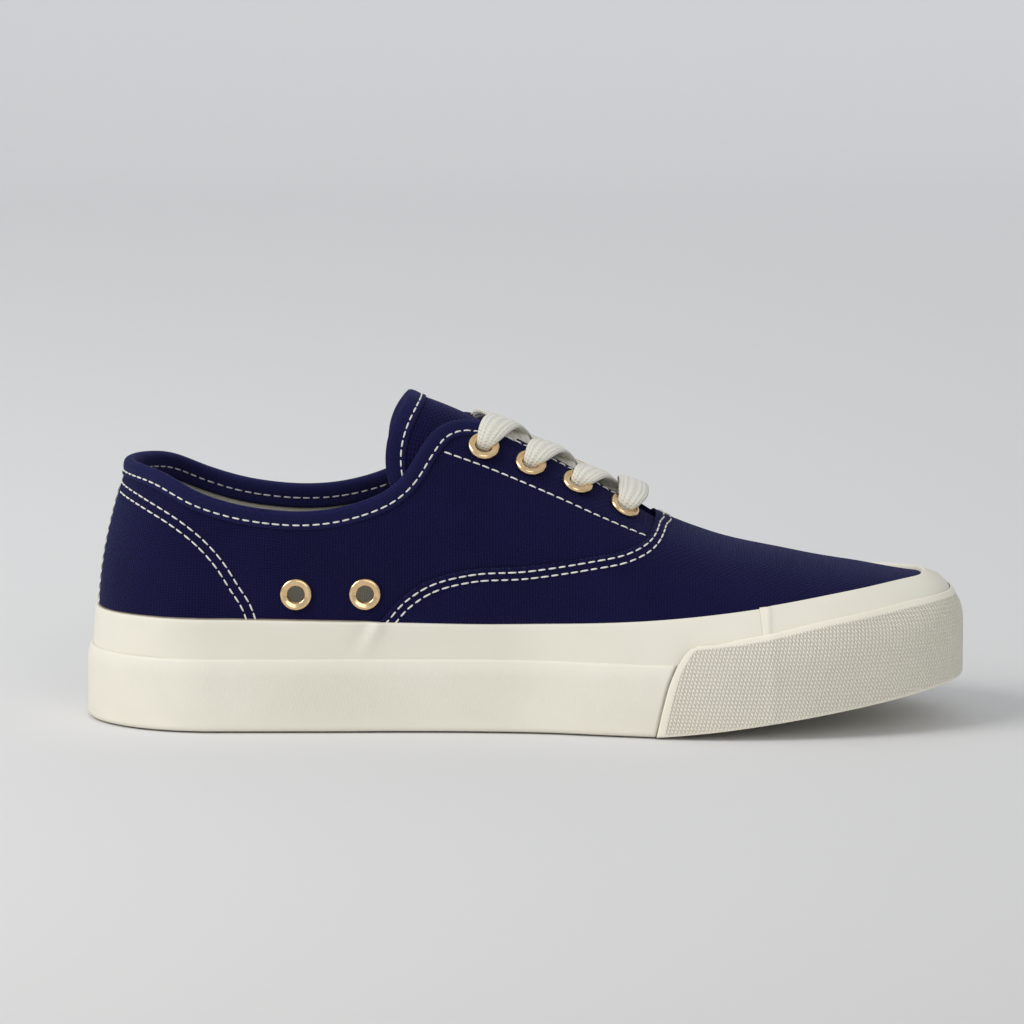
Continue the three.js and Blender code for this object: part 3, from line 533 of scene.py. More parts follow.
skin_normals = grid_normals(skin)
if skin_normals[60, GIRTH // 2, 2] < 0:
    skin_normals = -skin_normals
skin_normals[0] = unit(skin_normals[1] + skin_normals[1, ::-1])
skin_faces = grid_faces(len(places), GIRTH)
skin_flat = skin.reshape(-1, 3)
skin_flat_normals = skin_normals.reshape(-1, 3)
skin_tree = BVHTree.FromPolygons(skin_flat.tolist(), skin_faces)


def snap(points, height=0.0):
    """The nearest places on the canvas and the outward directions there, raised by a height."""
    points = np.atleast_2d(points)
    out = np.empty(points.shape)
    normals = np.empty(points.shape)
    for i, point in enumerate(points):
        place, _, index, _ = skin_tree.find_nearest(Vector(point))
        corners = list(skin_faces[index])
        gaps = np.linalg.norm(skin_flat[corners] - np.array(place), axis=1)
        weights = 1 / (gaps ** 2 + 1e-4)
        normal = (skin_flat_normals[corners] * weights[:, None]).sum(axis=0)
        out[i] = place
        normals[i] = normal / np.linalg.norm(normal)
    return out + normals * np.asarray(height).reshape(-1, 1), normals


def over_shoe(x, aside, height):
    """A point at a height over the canvas, aside of the ridge line."""
    x, aside, height = (np.atleast_1d(np.asarray(v, float)) for v in (x, aside, height))
    y = ridge_y(x) + aside
    points = np.stack([x, y, crown_height(x, y)], axis=1)
    return snap(points, height)


# Soft relief of the canvas, in the shoe's own sizes: x, y, z of the middle, its reach along, across and up,
# its side and its depth. Positive ones stand proud.

RELIEF = [
    (-44, -36, 34, 7, 12, 6, 0.35),
    (-96, -30, 60, 14, 14, 7, -0.25),
    (-20, -34, 44, 16, 14, 4, -0.3),
    (22, -30, 47, 14, 14, 4, -0.25),
    (-58, -34, 60, 22, 14, 5, 0.3),
    (60, -8, 53, 9, 16, 8, -0.35),
    (78, -8, 49, 8, 18, 8, 0.25),
    (60, 26, 46, 12, 14, 8, -0.3),
    (-50, 36, 55, 20, 14, 6, 0.3),
    (20, 36, 45, 14, 14, 5, -0.3),
]


def relief(points):
    total = np.zeros(len(points))
    for x, y, z, along, across, up, depth in RELIEF:
        away = (points - (x, y, z)) / (along, across, up)
        far = away[:, 0] ** 2 + away[:, 1] ** 2 + away[:, 2] ** 2
        total += depth * np.exp(-far)
    return total


# Cut sheets: a grid whose faces are clipped by functions of their corners


class Sheet:
    """Corners with an outer place, an inner place and a UV, and faces over them."""

    def __init__(self, outer, inner, uv, faces):
        self.data = np.hstack([outer, inner, uv])
        self.faces = faces

    def clip(self, rule):
        """Keeps the side where rule(outer places) is positive."""
        value = rule(self.data[:, :3])
        extra = []
        made = {}
        faces = []
        count = len(self.data)

        def crossing(a, b):
            key = (min(a, b), max(a, b))
            if key not in made:
                t = value[key[0]] / (value[key[0]] - value[key[1]])
                made[key] = count + len(extra)
                extra.append(mix(self.data[key[0]], self.data[key[1]], t))
            return made[key]

        inside = value > 0
        for face in self.faces:
            flags = [inside[k] for k in face]
            if all(flags):
                faces.append(face)
                continue
            if not any(flags):
                continue
            kept = []
            for a, b in zip(face, face[1:] + face[:1]):
                if inside[a]:
                    kept.append(a)
                if inside[a] != inside[b]:
                    kept.append(crossing(a, b))
            if len(kept) > 2:
                faces.append(tuple(kept))
        if extra:
            self.data = np.vstack([self.data, np.array(extra)])
        self.faces = faces
        return self

    def weld(self):
        """Drops unused corners and joins those that lie together."""
        used = sorted({k for face in self.faces for k in face})
        keys = {}
        index = {}
        rows = []
        for k in used:
            key = tuple(np.round(self.data[k, :3], 3))
            if key not in keys:
                keys[key] = len(rows)
                rows.append(self.data[k])
            index[k] = keys[key]
        faces = []
        for face in self.faces:
            clean = []
            for k in face:
                if not clean or index[k] != clean[-1]:
                    clean.append(index[k])
            if clean[0] == clean[-1]:
                clean.pop()
            if len(set(clean)) > 2 and len(set(clean)) == len(clean):
                faces.append(tuple(clean))
        self.data = np.array(rows)
        self.faces = faces
        return self

    def solid(self, name, materials, bulge=0.5, steps=5, **more):
        """A closed body between the outer and inner places, with a round edge that stands out by bulge."""
        self.weld()
        outer, inner, uv = self.data[:, :3], self.data[:, 3:6], self.data[:, 6:8]
        count = len(outer)
        edges = {}
        for face in self.faces:
            for a, b in zip(face, face[1:] + face[:1]):
                edges[a, b] = edges.get((a, b), 0) + 1
        border = [(a, b) for (a, b) in edges if (b, a) not in edges]
        following = {a: b for a, b in border}
        leading = {b: a for a, b in border}
        rim = sorted(set(following) | set(leading))
        place = {k: i for i, k in enumerate(rim)}
        out = np.zeros((len(rim), 3))
        for k in rim:
            before, after = leading.get(k, k), following.get(k, k)
            along = outer[after] - outer[before]
            across = np.cross(along, outer[k] - inner[k])
            size = np.linalg.norm(across)
            if size > 1e-9:
                out[place[k]] = across / size
        verts = [outer, inner]
        uvs = [uv, uv]
        rim_index = np.array(rim)
        for s in range(1, steps):
            share = (1 - math.cos(math.pi * s / steps)) / 2
            push = bulge * math.sin(math.pi * s / steps)
            verts.append(mix(outer[rim_index], inner[rim_index], share) + out * push)
            uvs.append(uv[rim_index])
        faces = list(self.faces) + [tuple(k + count for k in face[::-1]) for face in self.faces]
        parts = [0] * len(self.faces) + [len(materials) - 1] * len(self.faces)
        ring = 2 * count
        for a, b in border:
            path_a = [a] + [ring + s * len(rim) + place[a] for s in range(steps - 1)] + [a + count]
            path_b = [b] + [ring + s * len(rim) + place[b] for s in range(steps - 1)] + [b + count]
            for s in range(steps):
                faces.append((path_b[s], path_a[s], path_a[s + 1], path_b[s + 1]))
                parts.append(0)
        return new_object(name, np.vstack(verts), faces, materials, uv=np.vstack(uvs), parts=parts, **more)


def crown_sheet(outside, inside, first, last):
    """The crown between two places as a sheet, seamed up the middle of the heel."""
    chosen = places[(places >= first) & (places <= last)]
    t = turns[(places >= first) & (places <= last)]
    p = np.broadcast_to(chosen[:, None], t.shape)
    base = crown(p, t, 0.0).reshape(-1, 3)
    outer = crown(p, t, outside).reshape(-1, 3)
    inner = crown(p, t, inside).reshape(-1, 3)
    normals = skin_normals[(places >= first) & (places <= last)].reshape(-1, 3)
    outer = outer + normals * relief(base)[:, None]
    points = crown(p, t, 0.0)
    girth = np.concatenate([np.zeros((len(chosen), 1)),
                            np.cumsum(np.linalg.norm(np.diff(points, axis=1), axis=2), axis=1)], axis=1)
    girth = np.abs(girth - girth[:, GIRTH // 2:GIRTH // 2 + 1])
    arc = (HEEL_ROUND - 4) * np.pi / 2
    along = np.where(p < 1, arc * (p - 1) + HEEL_CENTRE, place_x(p, 0.0))
    uv = np.stack([along, girth], axis=-1).reshape(-1, 2) * UV_MM
    return Sheet(outer, inner, uv, grid_faces(len(chosen), GIRTH))


# Rules for cutting


def above_foot(lift):
    return lambda q: q[:, 2] - foot_line(q[:, 0]) - lift


def above_tape(lift, toe_drop=0.0):
    def rule(q):
        drop = toe_drop * smooth((q[:, 0] - TAPE_JOINT - 6) / 20)
        return q[:, 2] - tape_top(q[:, 0]) - np.where(q[:, 0] > TAPE_JOINT, FRONT_RISE, 0) - lift + drop

    return rule


def under_collar(down):
    def rule(q):
        medial = q[:, 1] < ridge_y(q[:, 0])
        value = np.empty(len(q))
        for side, chosen in ((-1, medial), (1, ~medial)):
            value[chosen] = -side_of(q[chosen][:, [0, 2]], collar_cut(side))
        return value - down

    return rule


def outside_throat(grow):
    end = THROAT_FRONT - THROAT_FRONT_WIDTH / 2
    half_end = throat_half(end)

    def rule(q):
        aside = q[:, 1] - ridge_y(q[:, 0])
        ahead = np.maximum(0, q[:, 0] - end) * half_end / (THROAT_FRONT_WIDTH / 2)
        far = np.hypot(aside, ahead)
        half = np.where(q[:, 0] < end, throat_half(np.maximum(q[:, 0], x_at(0.2))), half_end)
        return np.where((q[:, 2] > 45) & (q[:, 0] > HEEL_CENTRE + 40), far - half - grow, 10.0)

    return rule


def ahead_of_vamp(back):
    line = np.vstack([vamp_line, vamp_line[-1] + (0.3, 60)])
    return lambda q: -side_of(q[:, [0, 2]], line) + back


def off_axis(centre, axis, radius):
    def rule(q):
        off = q - centre
        side = np.linalg.norm(off - (off @ axis)[:, None] * axis, axis=1)
        return np.where(np.abs(off @ axis) < 8, side - radius, 10.0)

    return rule


# Materials


def nodes_of(name):
    mat = bpy.data.materials.new(name)
    mat.use_nodes = True
    tree = mat.node_tree
    shader = tree.nodes["Principled BSDF"]
    return mat, tree, shader


def link(tree, a, b):
    tree.links.new(a, b)


def maths(tree, operation, *inputs):
    node = tree.nodes.new("ShaderNodeMath")
    node.operation = operation
    for socket, value in zip(node.inputs, inputs):
        if isinstance(value, (int, float)):
            socket.default_value = value
        else:
            link(tree, value, socket)
    return node.outputs[0]


def texture_space(tree, uv=True):
    node = tree.nodes.new("ShaderNodeTexCoord")
    return node.outputs["UV" if uv else "Object"]


def noise(tree, vector, scale, detail=2.0, rough=0.5):
    node = tree.nodes.new("ShaderNodeTexNoise")
    node.inputs["Scale"].default_value = scale
    node.inputs["Detail"].default_value = detail
    node.inputs["Roughness"].default_value = rough
    link(tree, vector, node.inputs["Vector"])
    return node.outputs["Fac"]


def ramp(tree, value, dark, light, low=0.0, high=1.0):
    node = tree.nodes.new("ShaderNodeValToRGB")
    node.color_ramp.elements[0].position = low
    node.color_ramp.elements[1].position = high
    node.color_ramp.elements[0].color = (*dark, 1)
    node.color_ramp.elements[1].color = (*light, 1)
    link(tree, value, node.inputs["Fac"])
    return node.outputs["Color"]


def bump(tree, shader, height, strength, distance, chain=None):
    node = tree.nodes.new("ShaderNodeBump")
    node.inputs["Strength"].default_value = strength
    node.inputs["Distance"].default_value = distance
    link(tree, height, node.inputs["Height"])
    if chain is not None:
        link(tree, chain, node.inputs["Normal"])
    link(tree, node.outputs["Normal"], shader.inputs["Normal"])
    return node.outputs["Normal"]


def weave_height(tree, pitch_u, pitch_v):
    """Height of a plain weave over a UV in units of 0.1 m."""
    split = tree.nodes.new("ShaderNodeSeparateXYZ")
    link(tree, texture_space(tree), split.inputs[0])
    wobble = maths(tree, "MULTIPLY", noise(tree, texture_space(tree), 60.0, 2.0), 0.006)
    u = maths(tree, "MULTIPLY", maths(tree, "ADD", split.outputs["X"], wobble), math.pi / (pitch_u * UV_MM))
    v = maths(tree, "MULTIPLY", maths(tree, "ADD", split.outputs["Y"], wobble), math.pi / (pitch_v * UV_MM))
    across = maths(tree, "ABSOLUTE", maths(tree, "SINE", u))
    up = maths(tree, "ABSOLUTE", maths(tree, "SINE", v))
    swap = maths(tree, "MULTIPLY", maths(tree, "COSINE", u), maths(tree, "COSINE", v))
    swap = maths(tree, "ADD", maths(tree, "MULTIPLY", swap, 0.5), 0.5)
    first = maths(tree, "MULTIPLY", across, swap)
    second = maths(tree, "MULTIPLY", up, maths(tree, "SUBTRACT", 1.0, swap))
    return maths(tree, "ADD", first, second)


def cloth(name, dark, light, pitch_u, pitch_v, depth, tint=(0.35, 0.4, 0.9)):
    mat, tree, shader = nodes_of(name)
    height = weave_height(tree, pitch_u, pitch_v)
    cloud = noise(tree, texture_space(tree, uv=False), 55.0, 3.0)
    # The weave's hollows are coloured darker than its tops: painted shade. The cloud noise adds random tone.
    shade = maths(tree, "ADD", maths(tree, "MULTIPLY", height, 0.65), maths(tree, "MULTIPLY", cloud, 0.45))
    link(tree, ramp(tree, shade, dark, light, 0.15, 0.85), shader.inputs["Base Color"])
    fuzz = noise(tree, texture_space(tree, uv=False), 2600.0, 2.0)
    first = bump(tree, shader, fuzz, 0.25, 0.0002)
    bump(tree, shader, height, 0.9, depth, first)
    shader.inputs["Roughness"].default_value = 0.9
    shader.inputs["Sheen Weight"].default_value = 0.12
    shader.inputs["Sheen Roughness"].default_value = 0.45
    shader.inputs["Sheen Tint"].default_value = (*tint, 1)
    shader.inputs["Specular IOR Level"].default_value = 0.08
    return mat


KNURL_ACROSS, KNURL_UP, KNURL_SLANT = 1.12, 2.3, 0.25


def rubber_material(name, colour, rough=0.5, knurl=None):
    """Off-white rubber. knurl is its depth in metres, for a faint pressed pattern over the UV."""
    mat, tree, shader = nodes_of(name)
    space = texture_space(tree, uv=False)
    cloud = noise(tree, space, 22.0, 3.0)
    darker = tuple(c * f for c, f in zip(colour, (0.93, 0.925, 0.9)))
    link(tree, ramp(tree, cloud, darker, colour, 0.3, 0.65), shader.inputs["Base Color"])
    grain = noise(tree, space, 900.0, 3.0)
    chain = bump(tree, shader, grain, 0.12, 0.0002)
    wave = noise(tree, space, 70.0, 1.0)
    chain = bump(tree, shader, wave, 0.25, 0.0006, chain)
    if knurl:
        split = tree.nodes.new("ShaderNodeSeparateXYZ")
        link(tree, texture_space(tree), split.inputs[0])
        mask = tree.nodes.new("ShaderNodeAttribute")
        mask.attribute_name = "knurl"
        slant = maths(tree, "MULTIPLY", split.outputs["Y"], KNURL_SLANT)
        slanted = maths(tree, "ADD", split.outputs["X"], slant)
        u = maths(tree, "MULTIPLY", slanted, math.pi / (KNURL_ACROSS * UV_MM))
        v = maths(tree, "MULTIPLY", split.outputs["Y"], math.pi / (KNURL_UP * UV_MM))
        first = maths(tree, "ABSOLUTE", maths(tree, "SINE", maths(tree, "ADD", u, v)))
        second = maths(tree, "ABSOLUTE", maths(tree, "SINE", maths(tree, "SUBTRACT", u, v)))
        pattern = maths(tree, "MINIMUM", first, second)
        bump(tree, shader, maths(tree, "MULTIPLY", pattern, mask.outputs["Fac"]), 1.0, knurl, chain)
    shader.inputs["Roughness"].default_value = rough
    shader.inputs["Specular IOR Level"].default_value = 0.35
    return mat


GRAIN_DEPTH = 0.0001


def plain_material(name, dark, light, rough, metal=0.0, scale=300.0, strength=0.2):
    mat, tree, shader = nodes_of(name)
    grain = noise(tree, texture_space(tree, uv=False), scale, 3.0)
    link(tree, ramp(tree, grain, dark, light, 0.3, 0.7), shader.inputs["Base Color"])
    bump(tree, shader, grain, strength, GRAIN_DEPTH)
    shader.inputs["Roughness"].default_value = rough
    shader.inputs["Metallic"].default_value = metal
    return mat


def lace_material():
    """Flat knitted lace: ribs along its length, set by the UV's width, and rows of small loops."""
    mat, tree, shader = nodes_of("lace_weave")
    split = tree.nodes.new("ShaderNodeSeparateXYZ")
    link(tree, texture_space(tree), split.inputs[0])
    across = maths(tree, "MULTIPLY", split.outputs["Y"], 2 * math.pi * 8)
    along = maths(tree, "MULTIPLY", split.outputs["X"], 2 * math.pi / 0.0085)
    rib = maths(tree, "SINE", across)
    loops = maths(tree, "SINE", maths(tree, "ADD", along, maths(tree, "MULTIPLY", rib, 1.2)))
    height = maths(tree, "ADD", maths(tree, "MULTIPLY", rib, 0.28), maths(tree, "MULTIPLY", loops, 0.2))
    height = maths(tree, "ADD", height, 0.5)
    fuzz = noise(tree, texture_space(tree, uv=False), 1800.0, 3.0)
    # The hollows between the ribs and loops are coloured darker: painted shade. The fuzz noise adds random
    # tone.
    shade = maths(tree, "ADD", maths(tree, "MULTIPLY", height, 0.6), maths(tree, "MULTIPLY", fuzz, 0.4))
    colour = ramp(tree, shade, (0.60, 0.575, 0.49), (0.80, 0.78, 0.69), 0.1, 0.75)
    link(tree, colour, shader.inputs["Base Color"])
    first = bump(tree, shader, fuzz, 0.5, 0.0003)
    bump(tree, shader, height, 0.6, 0.0004, first)
    shader.inputs["Roughness"].default_value = 0.95
    shader.inputs["Sheen Weight"].default_value = 0.25
    return mat


canvas = cloth("navy_canvas", (0.003, 0.0025, 0.019), (0.0085, 0.0075, 0.047), 0.85, 0.85, 0.00028)
tape_cloth = cloth("navy_tape", (0.0045, 0.0045, 0.026), (0.013, 0.0135, 0.066), 0.7, 0.6, 0.0002)
# The lining's cream is darkened to a grey olive: painted shade for the inside of the shoe.
lining = cloth("cream_lining_painted_shade", (0.3, 0.285, 0.23), (0.46, 0.44, 0.37), 0.6, 0.6, 0.0001, tint=(1, 1, 1))
cream = rubber_material("cream_rubber", (0.80, 0.765, 0.66))
cream_band = rubber_material("cream_band_rubber", (0.80, 0.765, 0.66), knurl=0.00005)
# The toe bumper's rubber is a lighter copy of the cream: painted light that offsets the knurl's shade.
knurl_rubber_lightened = rubber_material("knurl_rubber_painted_light", (0.88, 0.83, 0.70), knurl=0.0004)
sole_cream = rubber_material("sole_rubber", (0.72, 0.68, 0.56), rough=0.65)
brass = plain_material("pale_brass", (0.80, 0.56, 0.30), (0.88, 0.65, 0.38), 0.2, metal=1.0, scale=500,
                       strength=0.06)
thread = plain_material("stitch_thread", (0.62, 0.61, 0.56), (0.86, 0.85, 0.8), 0.9, scale=2500.0,
                        strength=0.5)
dull_thread = plain_material("inner_thread", (0.3, 0.3, 0.33), (0.5, 0.5, 0.5), 0.9, scale=2500.0,
                             strength=0.5)
# A dark brown bead along the strips' top edges: painted shade where the rubber meets the canvas.
edge_shade_paint = plain_material("painted_edge_shade", (0.16, 0.12, 0.09), (0.28, 0.22, 0.16), 0.6)
cotton = lace_material()

# Rubber strips


def along_wall(places, sides, d, from_heel):
    """Distance along the wall, from the back of the heel or from the tip of the toe."""
    table = np.linspace(0, 3, 600)
    out = np.empty(places.shape)
    for side in (-1.0, 1.0):
        reach = lengths(wall(table, side, 20.0, d))
        mine = sides == side
        ahead = np.interp(places[mine], table, reach)
        out[mine] = side * ahead if from_heel else side * (reach[-1] - ahead)
    return out


def strip(name, w, sides, top, outside, inside, material, rows, round_off, shift=None,
          relief_of=None, knurled=None, **more):
    """A band round the wall, up to top(x). Its upper edge is rounded and stands square to the canvas."""
    def places_at(z):
        return w + (shift(z[:, None])[:, 0] if shift is not None else 0)

    low = np.full(len(w), 5.0)
    high = np.full(len(w), 30.0)
    for _ in range(7):
        high = top(wall(places_at(high), sides, high, outside)[:, 0])
        low = sole_bottom(wall(places_at(low), sides, low, outside)[:, 0]) + STRIP_LIFT
    share = np.linspace(0, 1, rows + 1)
    z = low[:, None] + round_off * 0.5 + (high - low - round_off * 1.5)[:, None] * share
    d = np.full(z.shape, outside)
    spread = w[:, None] + (shift(z) if shift is not None else 0)
    if relief_of is not None:
        d = d + relief_of(wall(spread, sides[:, None], z, d), z, high[:, None])
    face = wall(spread, sides[:, None], z, d)
    brow = high - round_off
    brow_d = np.full(len(w), float(outside))
    if relief_of is not None:
        brow_d = brow_d + relief_of(wall(places_at(brow), sides, brow, outside), brow, high)
    last = wall(places_at(brow), sides, brow, brow_d)
    foot, normal = snap(last)
    up = unit(last - wall(places_at(high - 2), sides, high - 2, brow_d))
    rows_of = [face[:, i] for i in range(rows + 1)]
    for angle in np.linspace(0, math.pi / 2, 5)[1:]:
        rows_of.append(last - normal * round_off * (1 - math.cos(angle)) + up * round_off * math.sin(angle))
    rows_of.append(last - normal * (brow_d - inside)[:, None] + up * round_off)
    for height, depth in ((mix(high, low, 0.5), inside), (low, inside), (low, outside - round_off * 0.5)):
        rows_of.append(wall(places_at(height), sides, height, depth))
    points = np.stack(rows_of, axis=1)
    along = along_wall(np.broadcast_to(spread, z.shape), sides, outside, w.min() < 0.5)
    more_rows = points.shape[1] - rows - 1
    along = np.hstack([along, np.repeat(along[:, -1:], more_rows, axis=1)])
    heights = np.hstack([z, np.repeat(high[:, None], more_rows, axis=1)])
    uv = np.stack([along, heights], axis=-1) * UV_MM
    mask = None
    if knurled is not None:
        mask = np.zeros(heights.shape)
        mask[:, :rows + 1] = knurled(face, z, high[:, None], low[:, None])
    tube(name, points, material, uv=uv, mask=mask, **more)
    return foot + up * round_off, normal


def round_trip(start, end, heel_steps, side_step):
    """Wall places from x = start on the medial side round the heel to x = end on the lateral side."""
    count = int((start - HEEL_CENTRE) / side_step)
    straight = np.linspace(wall_w(start), 1, count, endpoint=False)
    heel = np.linspace(1, 0, heel_steps, endpoint=False)
    back = np.linspace(0, 1, heel_steps, endpoint=False)
    count = int((end - HEEL_CENTRE) / side_step)
    forth = np.linspace(1, wall_w(end), count + 1)
    w = np.concatenate([straight, heel, back, forth])
    side = np.concatenate([-np.ones(len(straight) + len(heel)), np.ones(len(back) + len(forth))])
    return w, side


def toe_trip(first, last, steps):
    """Wall places from w = first on the medial side round the toe to w = last on the lateral side."""
    one = np.linspace(first, 3, steps, endpoint=False)
    two = np.linspace(3, last, steps + 1)
    return np.concatenate([one, two]), np.concatenate([-np.ones(len(one)), np.ones(len(two))])


def w_of_x(x, side, z, d):
    """The wall place where the outline stands at x."""
    grid = np.linspace(1.0, 3.0, 400)
    outline = wall(grid, side, z, d)[:, 0]
    return float(np.interp(x, outline, grid))


FOLD_X = 43.2


def seam_bump(place, z, high):
    """The vamp's edge shows through the tape as a small slanted fold with a hollow behind it."""
    x = place[..., 0] + FOLD_X + (high - z) * 0.55
    fade = np.exp(-((high - z) / 6.5) ** 2) * (place[..., 1] < 0)
    wave = np.sin(place[..., 0] * 0.16) * np.sin(place[..., 0] * 0.073 + 1) * 0.08
    wave = wave - 0.9 * smooth((-100 - place[..., 0]) / 20) * np.exp(-((high - z) / 9.0) ** 2)
    return (0.9 * np.exp(-(x / 1.4) ** 2) - 0.6 * np.exp(-((x + 3.4) / 2.2) ** 2)) * fade + wave


def joint_bump(place, z, high):
    return 0.4 * np.exp(-((place[..., 0] - TAPE_JOINT - 1.2) / 0.9) ** 2)


def round_places(first, last, back, steps):
    """Places and sides from w = first on the medial side, by w = back, to w = last on the lateral side."""
    parts = [np.linspace(first, 1, steps, endpoint=False), np.linspace(1, back, steps // 3, endpoint=False),
             np.linspace(back, 1, steps // 3, endpoint=False), np.linspace(1, last, steps + 1)]
    medial = len(parts[0]) + len(parts[1])
    w = np.concatenate(parts)
    return w, np.where(np.arange(len(w)) < medial, -1.0, 1.0)


def bead(name, path, normals, radius, material):
    """A thin round thread along a path."""
    along = tangents(path)
    across = unit(np.cross(along, normals))
    angle = np.linspace(0, 2 * math.pi, 8, endpoint=False)
    rings = (path[:, None] + across[:, None] * radius * np.cos(angle)[None, :, None]
             + normals[:, None] * radius * np.sin(angle)[None, :, None])
    tube(name, rings, material, slot="rubber")


def make_foxing():
    ends = [w_of_x(TAPE_JOINT, side, JOINT_LEVEL, TAPE_OUT) for side in (-1, 1)]
    w, side = round_places(*ends, 0, 150)
    path, normals = strip("foxing_strip", w, side, tape_top, TAPE_OUT, TAPE_IN, cream, relief_of=seam_bump,
                          round_off=0.7, rows=18, replaces=["foxing_tape"], slot="rubber")
    # Dark bead along the strip's top edge: painted shade against the canvas.
    bead("foxing_edge_shade", path, normals, BEAD_RADIUS, edge_shade_paint)
    ends = [w_of_x(TAPE_JOINT, side, JOINT_LEVEL, FRONT_OUT) for side in (-1, 1)]
    w, side = toe_trip(*ends, 110)
    path, normals = strip("front_strip", w, side, lambda x: tape_top(x) + FRONT_RISE, FRONT_OUT, TAPE_IN,
                          cream, relief_of=joint_bump, round_off=0.8, rows=16, replaces=["front_tape"],
                          slot="rubber")
    # Dark bead along the strip's top edge: painted shade against the canvas.
    bead("front_edge_shade", path, normals, BEAD_RADIUS, edge_shade_paint)


def band_brow(place, z, high):
    """The band thins towards its top edge."""
    return -0.7 * np.exp(-((high - z) / 2.6) ** 2)


def make_band():
    start = BUMPER_FOOT + 10
    w, side = round_trip(start, start, 60, 1.2)
    fade = np.clip((w - wall_w(start - 45)) / (wall_w(start) - wall_w(start - 45)), 0, 1)[:, None]

    def slant(z):
        return fade * (wall_w(bumper_back(z) - GAP) - wall_w(start))

    def knurled(face, z, high, low):
        ahead = smooth((bumper_back(z) - 4.0 - face[..., 0]) / 1.5)
        return smooth((z - low - 3.5) / 1.5) * smooth((high - 1.2 - z) / 1.0) * ahead

    strip("side_strip", w, side, lambda x: np.full(np.shape(x), BAND_HEIGHT), BAND_OUT, BAND_IN - STRIP_SINK,
          cream_band, shift=slant, relief_of=band_brow, rows=22, round_off=1.1, knurled=knurled,
          replaces=["side_band"], slot="rubber")


BUMPER_RIM = 1.7


def make_bumper():
    """Knurled strip round the toe, with a plain rim along its top and its slanted ends."""
    start = BUMPER_FOOT + 6
    w, side = toe_trip(wall_w(start), wall_w(start), 300)
    fade = np.clip(1 - (w - wall_w(start)) / 0.35, 0, 1)[:, None]

    def shift(z):
        return fade * (wall_w(bumper_back(z)) - wall_w(start))

    def edge_gap(face, z, high):
        return np.minimum(high - z, np.minimum((face[..., 0] - bumper_back(z)) * 0.9, 40))

    def relief_here(face, z, high):
        rim = smooth((edge_gap(face, z, high) - BUMPER_RIM) / 0.4)
        joint = 0.22 * np.exp(-((face[..., 0] - TAPE_JOINT - 2.5) / 2.0) ** 2)
        lip = smooth((face[..., 0] - 96) / 24) * np.exp(-((high - z) / 4.5) ** 2)
        return joint - 0.16 * rim - 1.5 * lip

    def knurled(face, z, high, low):
        return smooth((edge_gap(face, z, high) - BUMPER_RIM) / 0.3) * smooth((z - low - 0.5) / 0.4)

    # Its rubber is painted lighter than the other strips, to offset the knurl's shade.
    strip("toe_bumper_strip", w, side, bumper_height, BUMPER_OUT, BUMPER_IN - STRIP_SINK, knurl_rubber_lightened,
          shift=shift, relief_of=relief_here, rows=64, round_off=0.6, knurled=knurled,
          replaces=["toe_bumper"], slot="rubber")


# Canvas shell and vamp panel

eyelets = []
for side in (-1, 1):
    for row in range(EYELETS):
        x = EYELET_FIRST + row * EYELET_PITCH
        aside = side * (throat_half(x) + EYELET_EDGE)
        name = f"lace_eyelet_{'medial' if side < 0 else 'lateral'}_{row + 1}"
        centre, normal = over_shoe(x, aside, 0.0)
        eyelets.append((name, centre[0], normal[0]))
for row in range(2):
    x = VENT_FIRST + row * VENT_PITCH
    reach, ridge = half_reach(np.array(x), np.array(VENT_HEIGHT), np.array(-1), 0.0)
    centre, normal = snap(np.array([[x, ridge - reach, VENT_HEIGHT]]))
    eyelets.append((f"vent_eyelet_{row + 1}", centre[0], normal[0]))


def make_upper():
    shell = crown_sheet(0.0, -WALL, 0, 3)
    shell.clip(above_foot(0.6)).clip(under_collar(1.0)).clip(outside_throat(0.0))
    for _, centre, normal in eyelets:
        shell.clip(off_axis(centre, normal, HOLE / 2 + 0.9))
    shell.solid("canvas_shell", [canvas, lining], bulge=0.6, replaces=["upper"], slot="canvas")
    vamp = crown_sheet(0.85, -0.3, 1.2, 3)
    vamp.clip(above_tape(-1.5, 8.0)).clip(ahead_of_vamp(0.0)).clip(outside_throat(-2.6))
    vamp.solid("vamp_panel", [canvas], bulge=0.45, slot="canvas")


# Strips that follow an edge of the canvas


def collar_edge():
    """The collar's edge on the canvas, from the medial throat round the heel to the lateral throat."""
    curves = []
    for side in (-1, 1):
        p = np.linspace(2.05, 0, 260)
        low = np.full(len(p), 0.02 if side < 0 else 0.98)
        high = np.full(len(p), 0.5)
        line = collar_cut(side)
        for _ in range(20):
            t = (low + high) / 2
            q = crown(p, t, 0.0)
            under = side_of(q[:, [0, 2]], line) < 0
            low = np.where(under, t, low)
            high = np.where(under, high, t)
        q = crown(p, (low + high) / 2, 0.0)
        keep = (outside_throat(0.0)(q) > 0) & (q[:, 0] < x_at(0.46))
        curves.append(q[keep])
    return resample(np.vstack([curves[0], curves[1][::-1][1:]]), 1.2)


def settle(points, times=2):
    for _ in range(times):
        points = np.vstack([points[:1], (points[:-2] + 2 * points[1:-1] + points[2:]) / 4, points[-1:]])
    return points


def edge_frame(edge, away):
    """Direction along the canvas away from the opening, for a curve on the canvas."""
    _, normals = snap(edge)
    along = tangents(edge)
    down = unit(np.cross(normals, along))
    if (down * away).sum() < 0:
        down = -down
    return normals, down


def laid(edge, down, inward, height):
    """Points a distance along the canvas from an edge, raised over it."""
    flat, local = snap(edge + down * inward)
    return flat + local * height


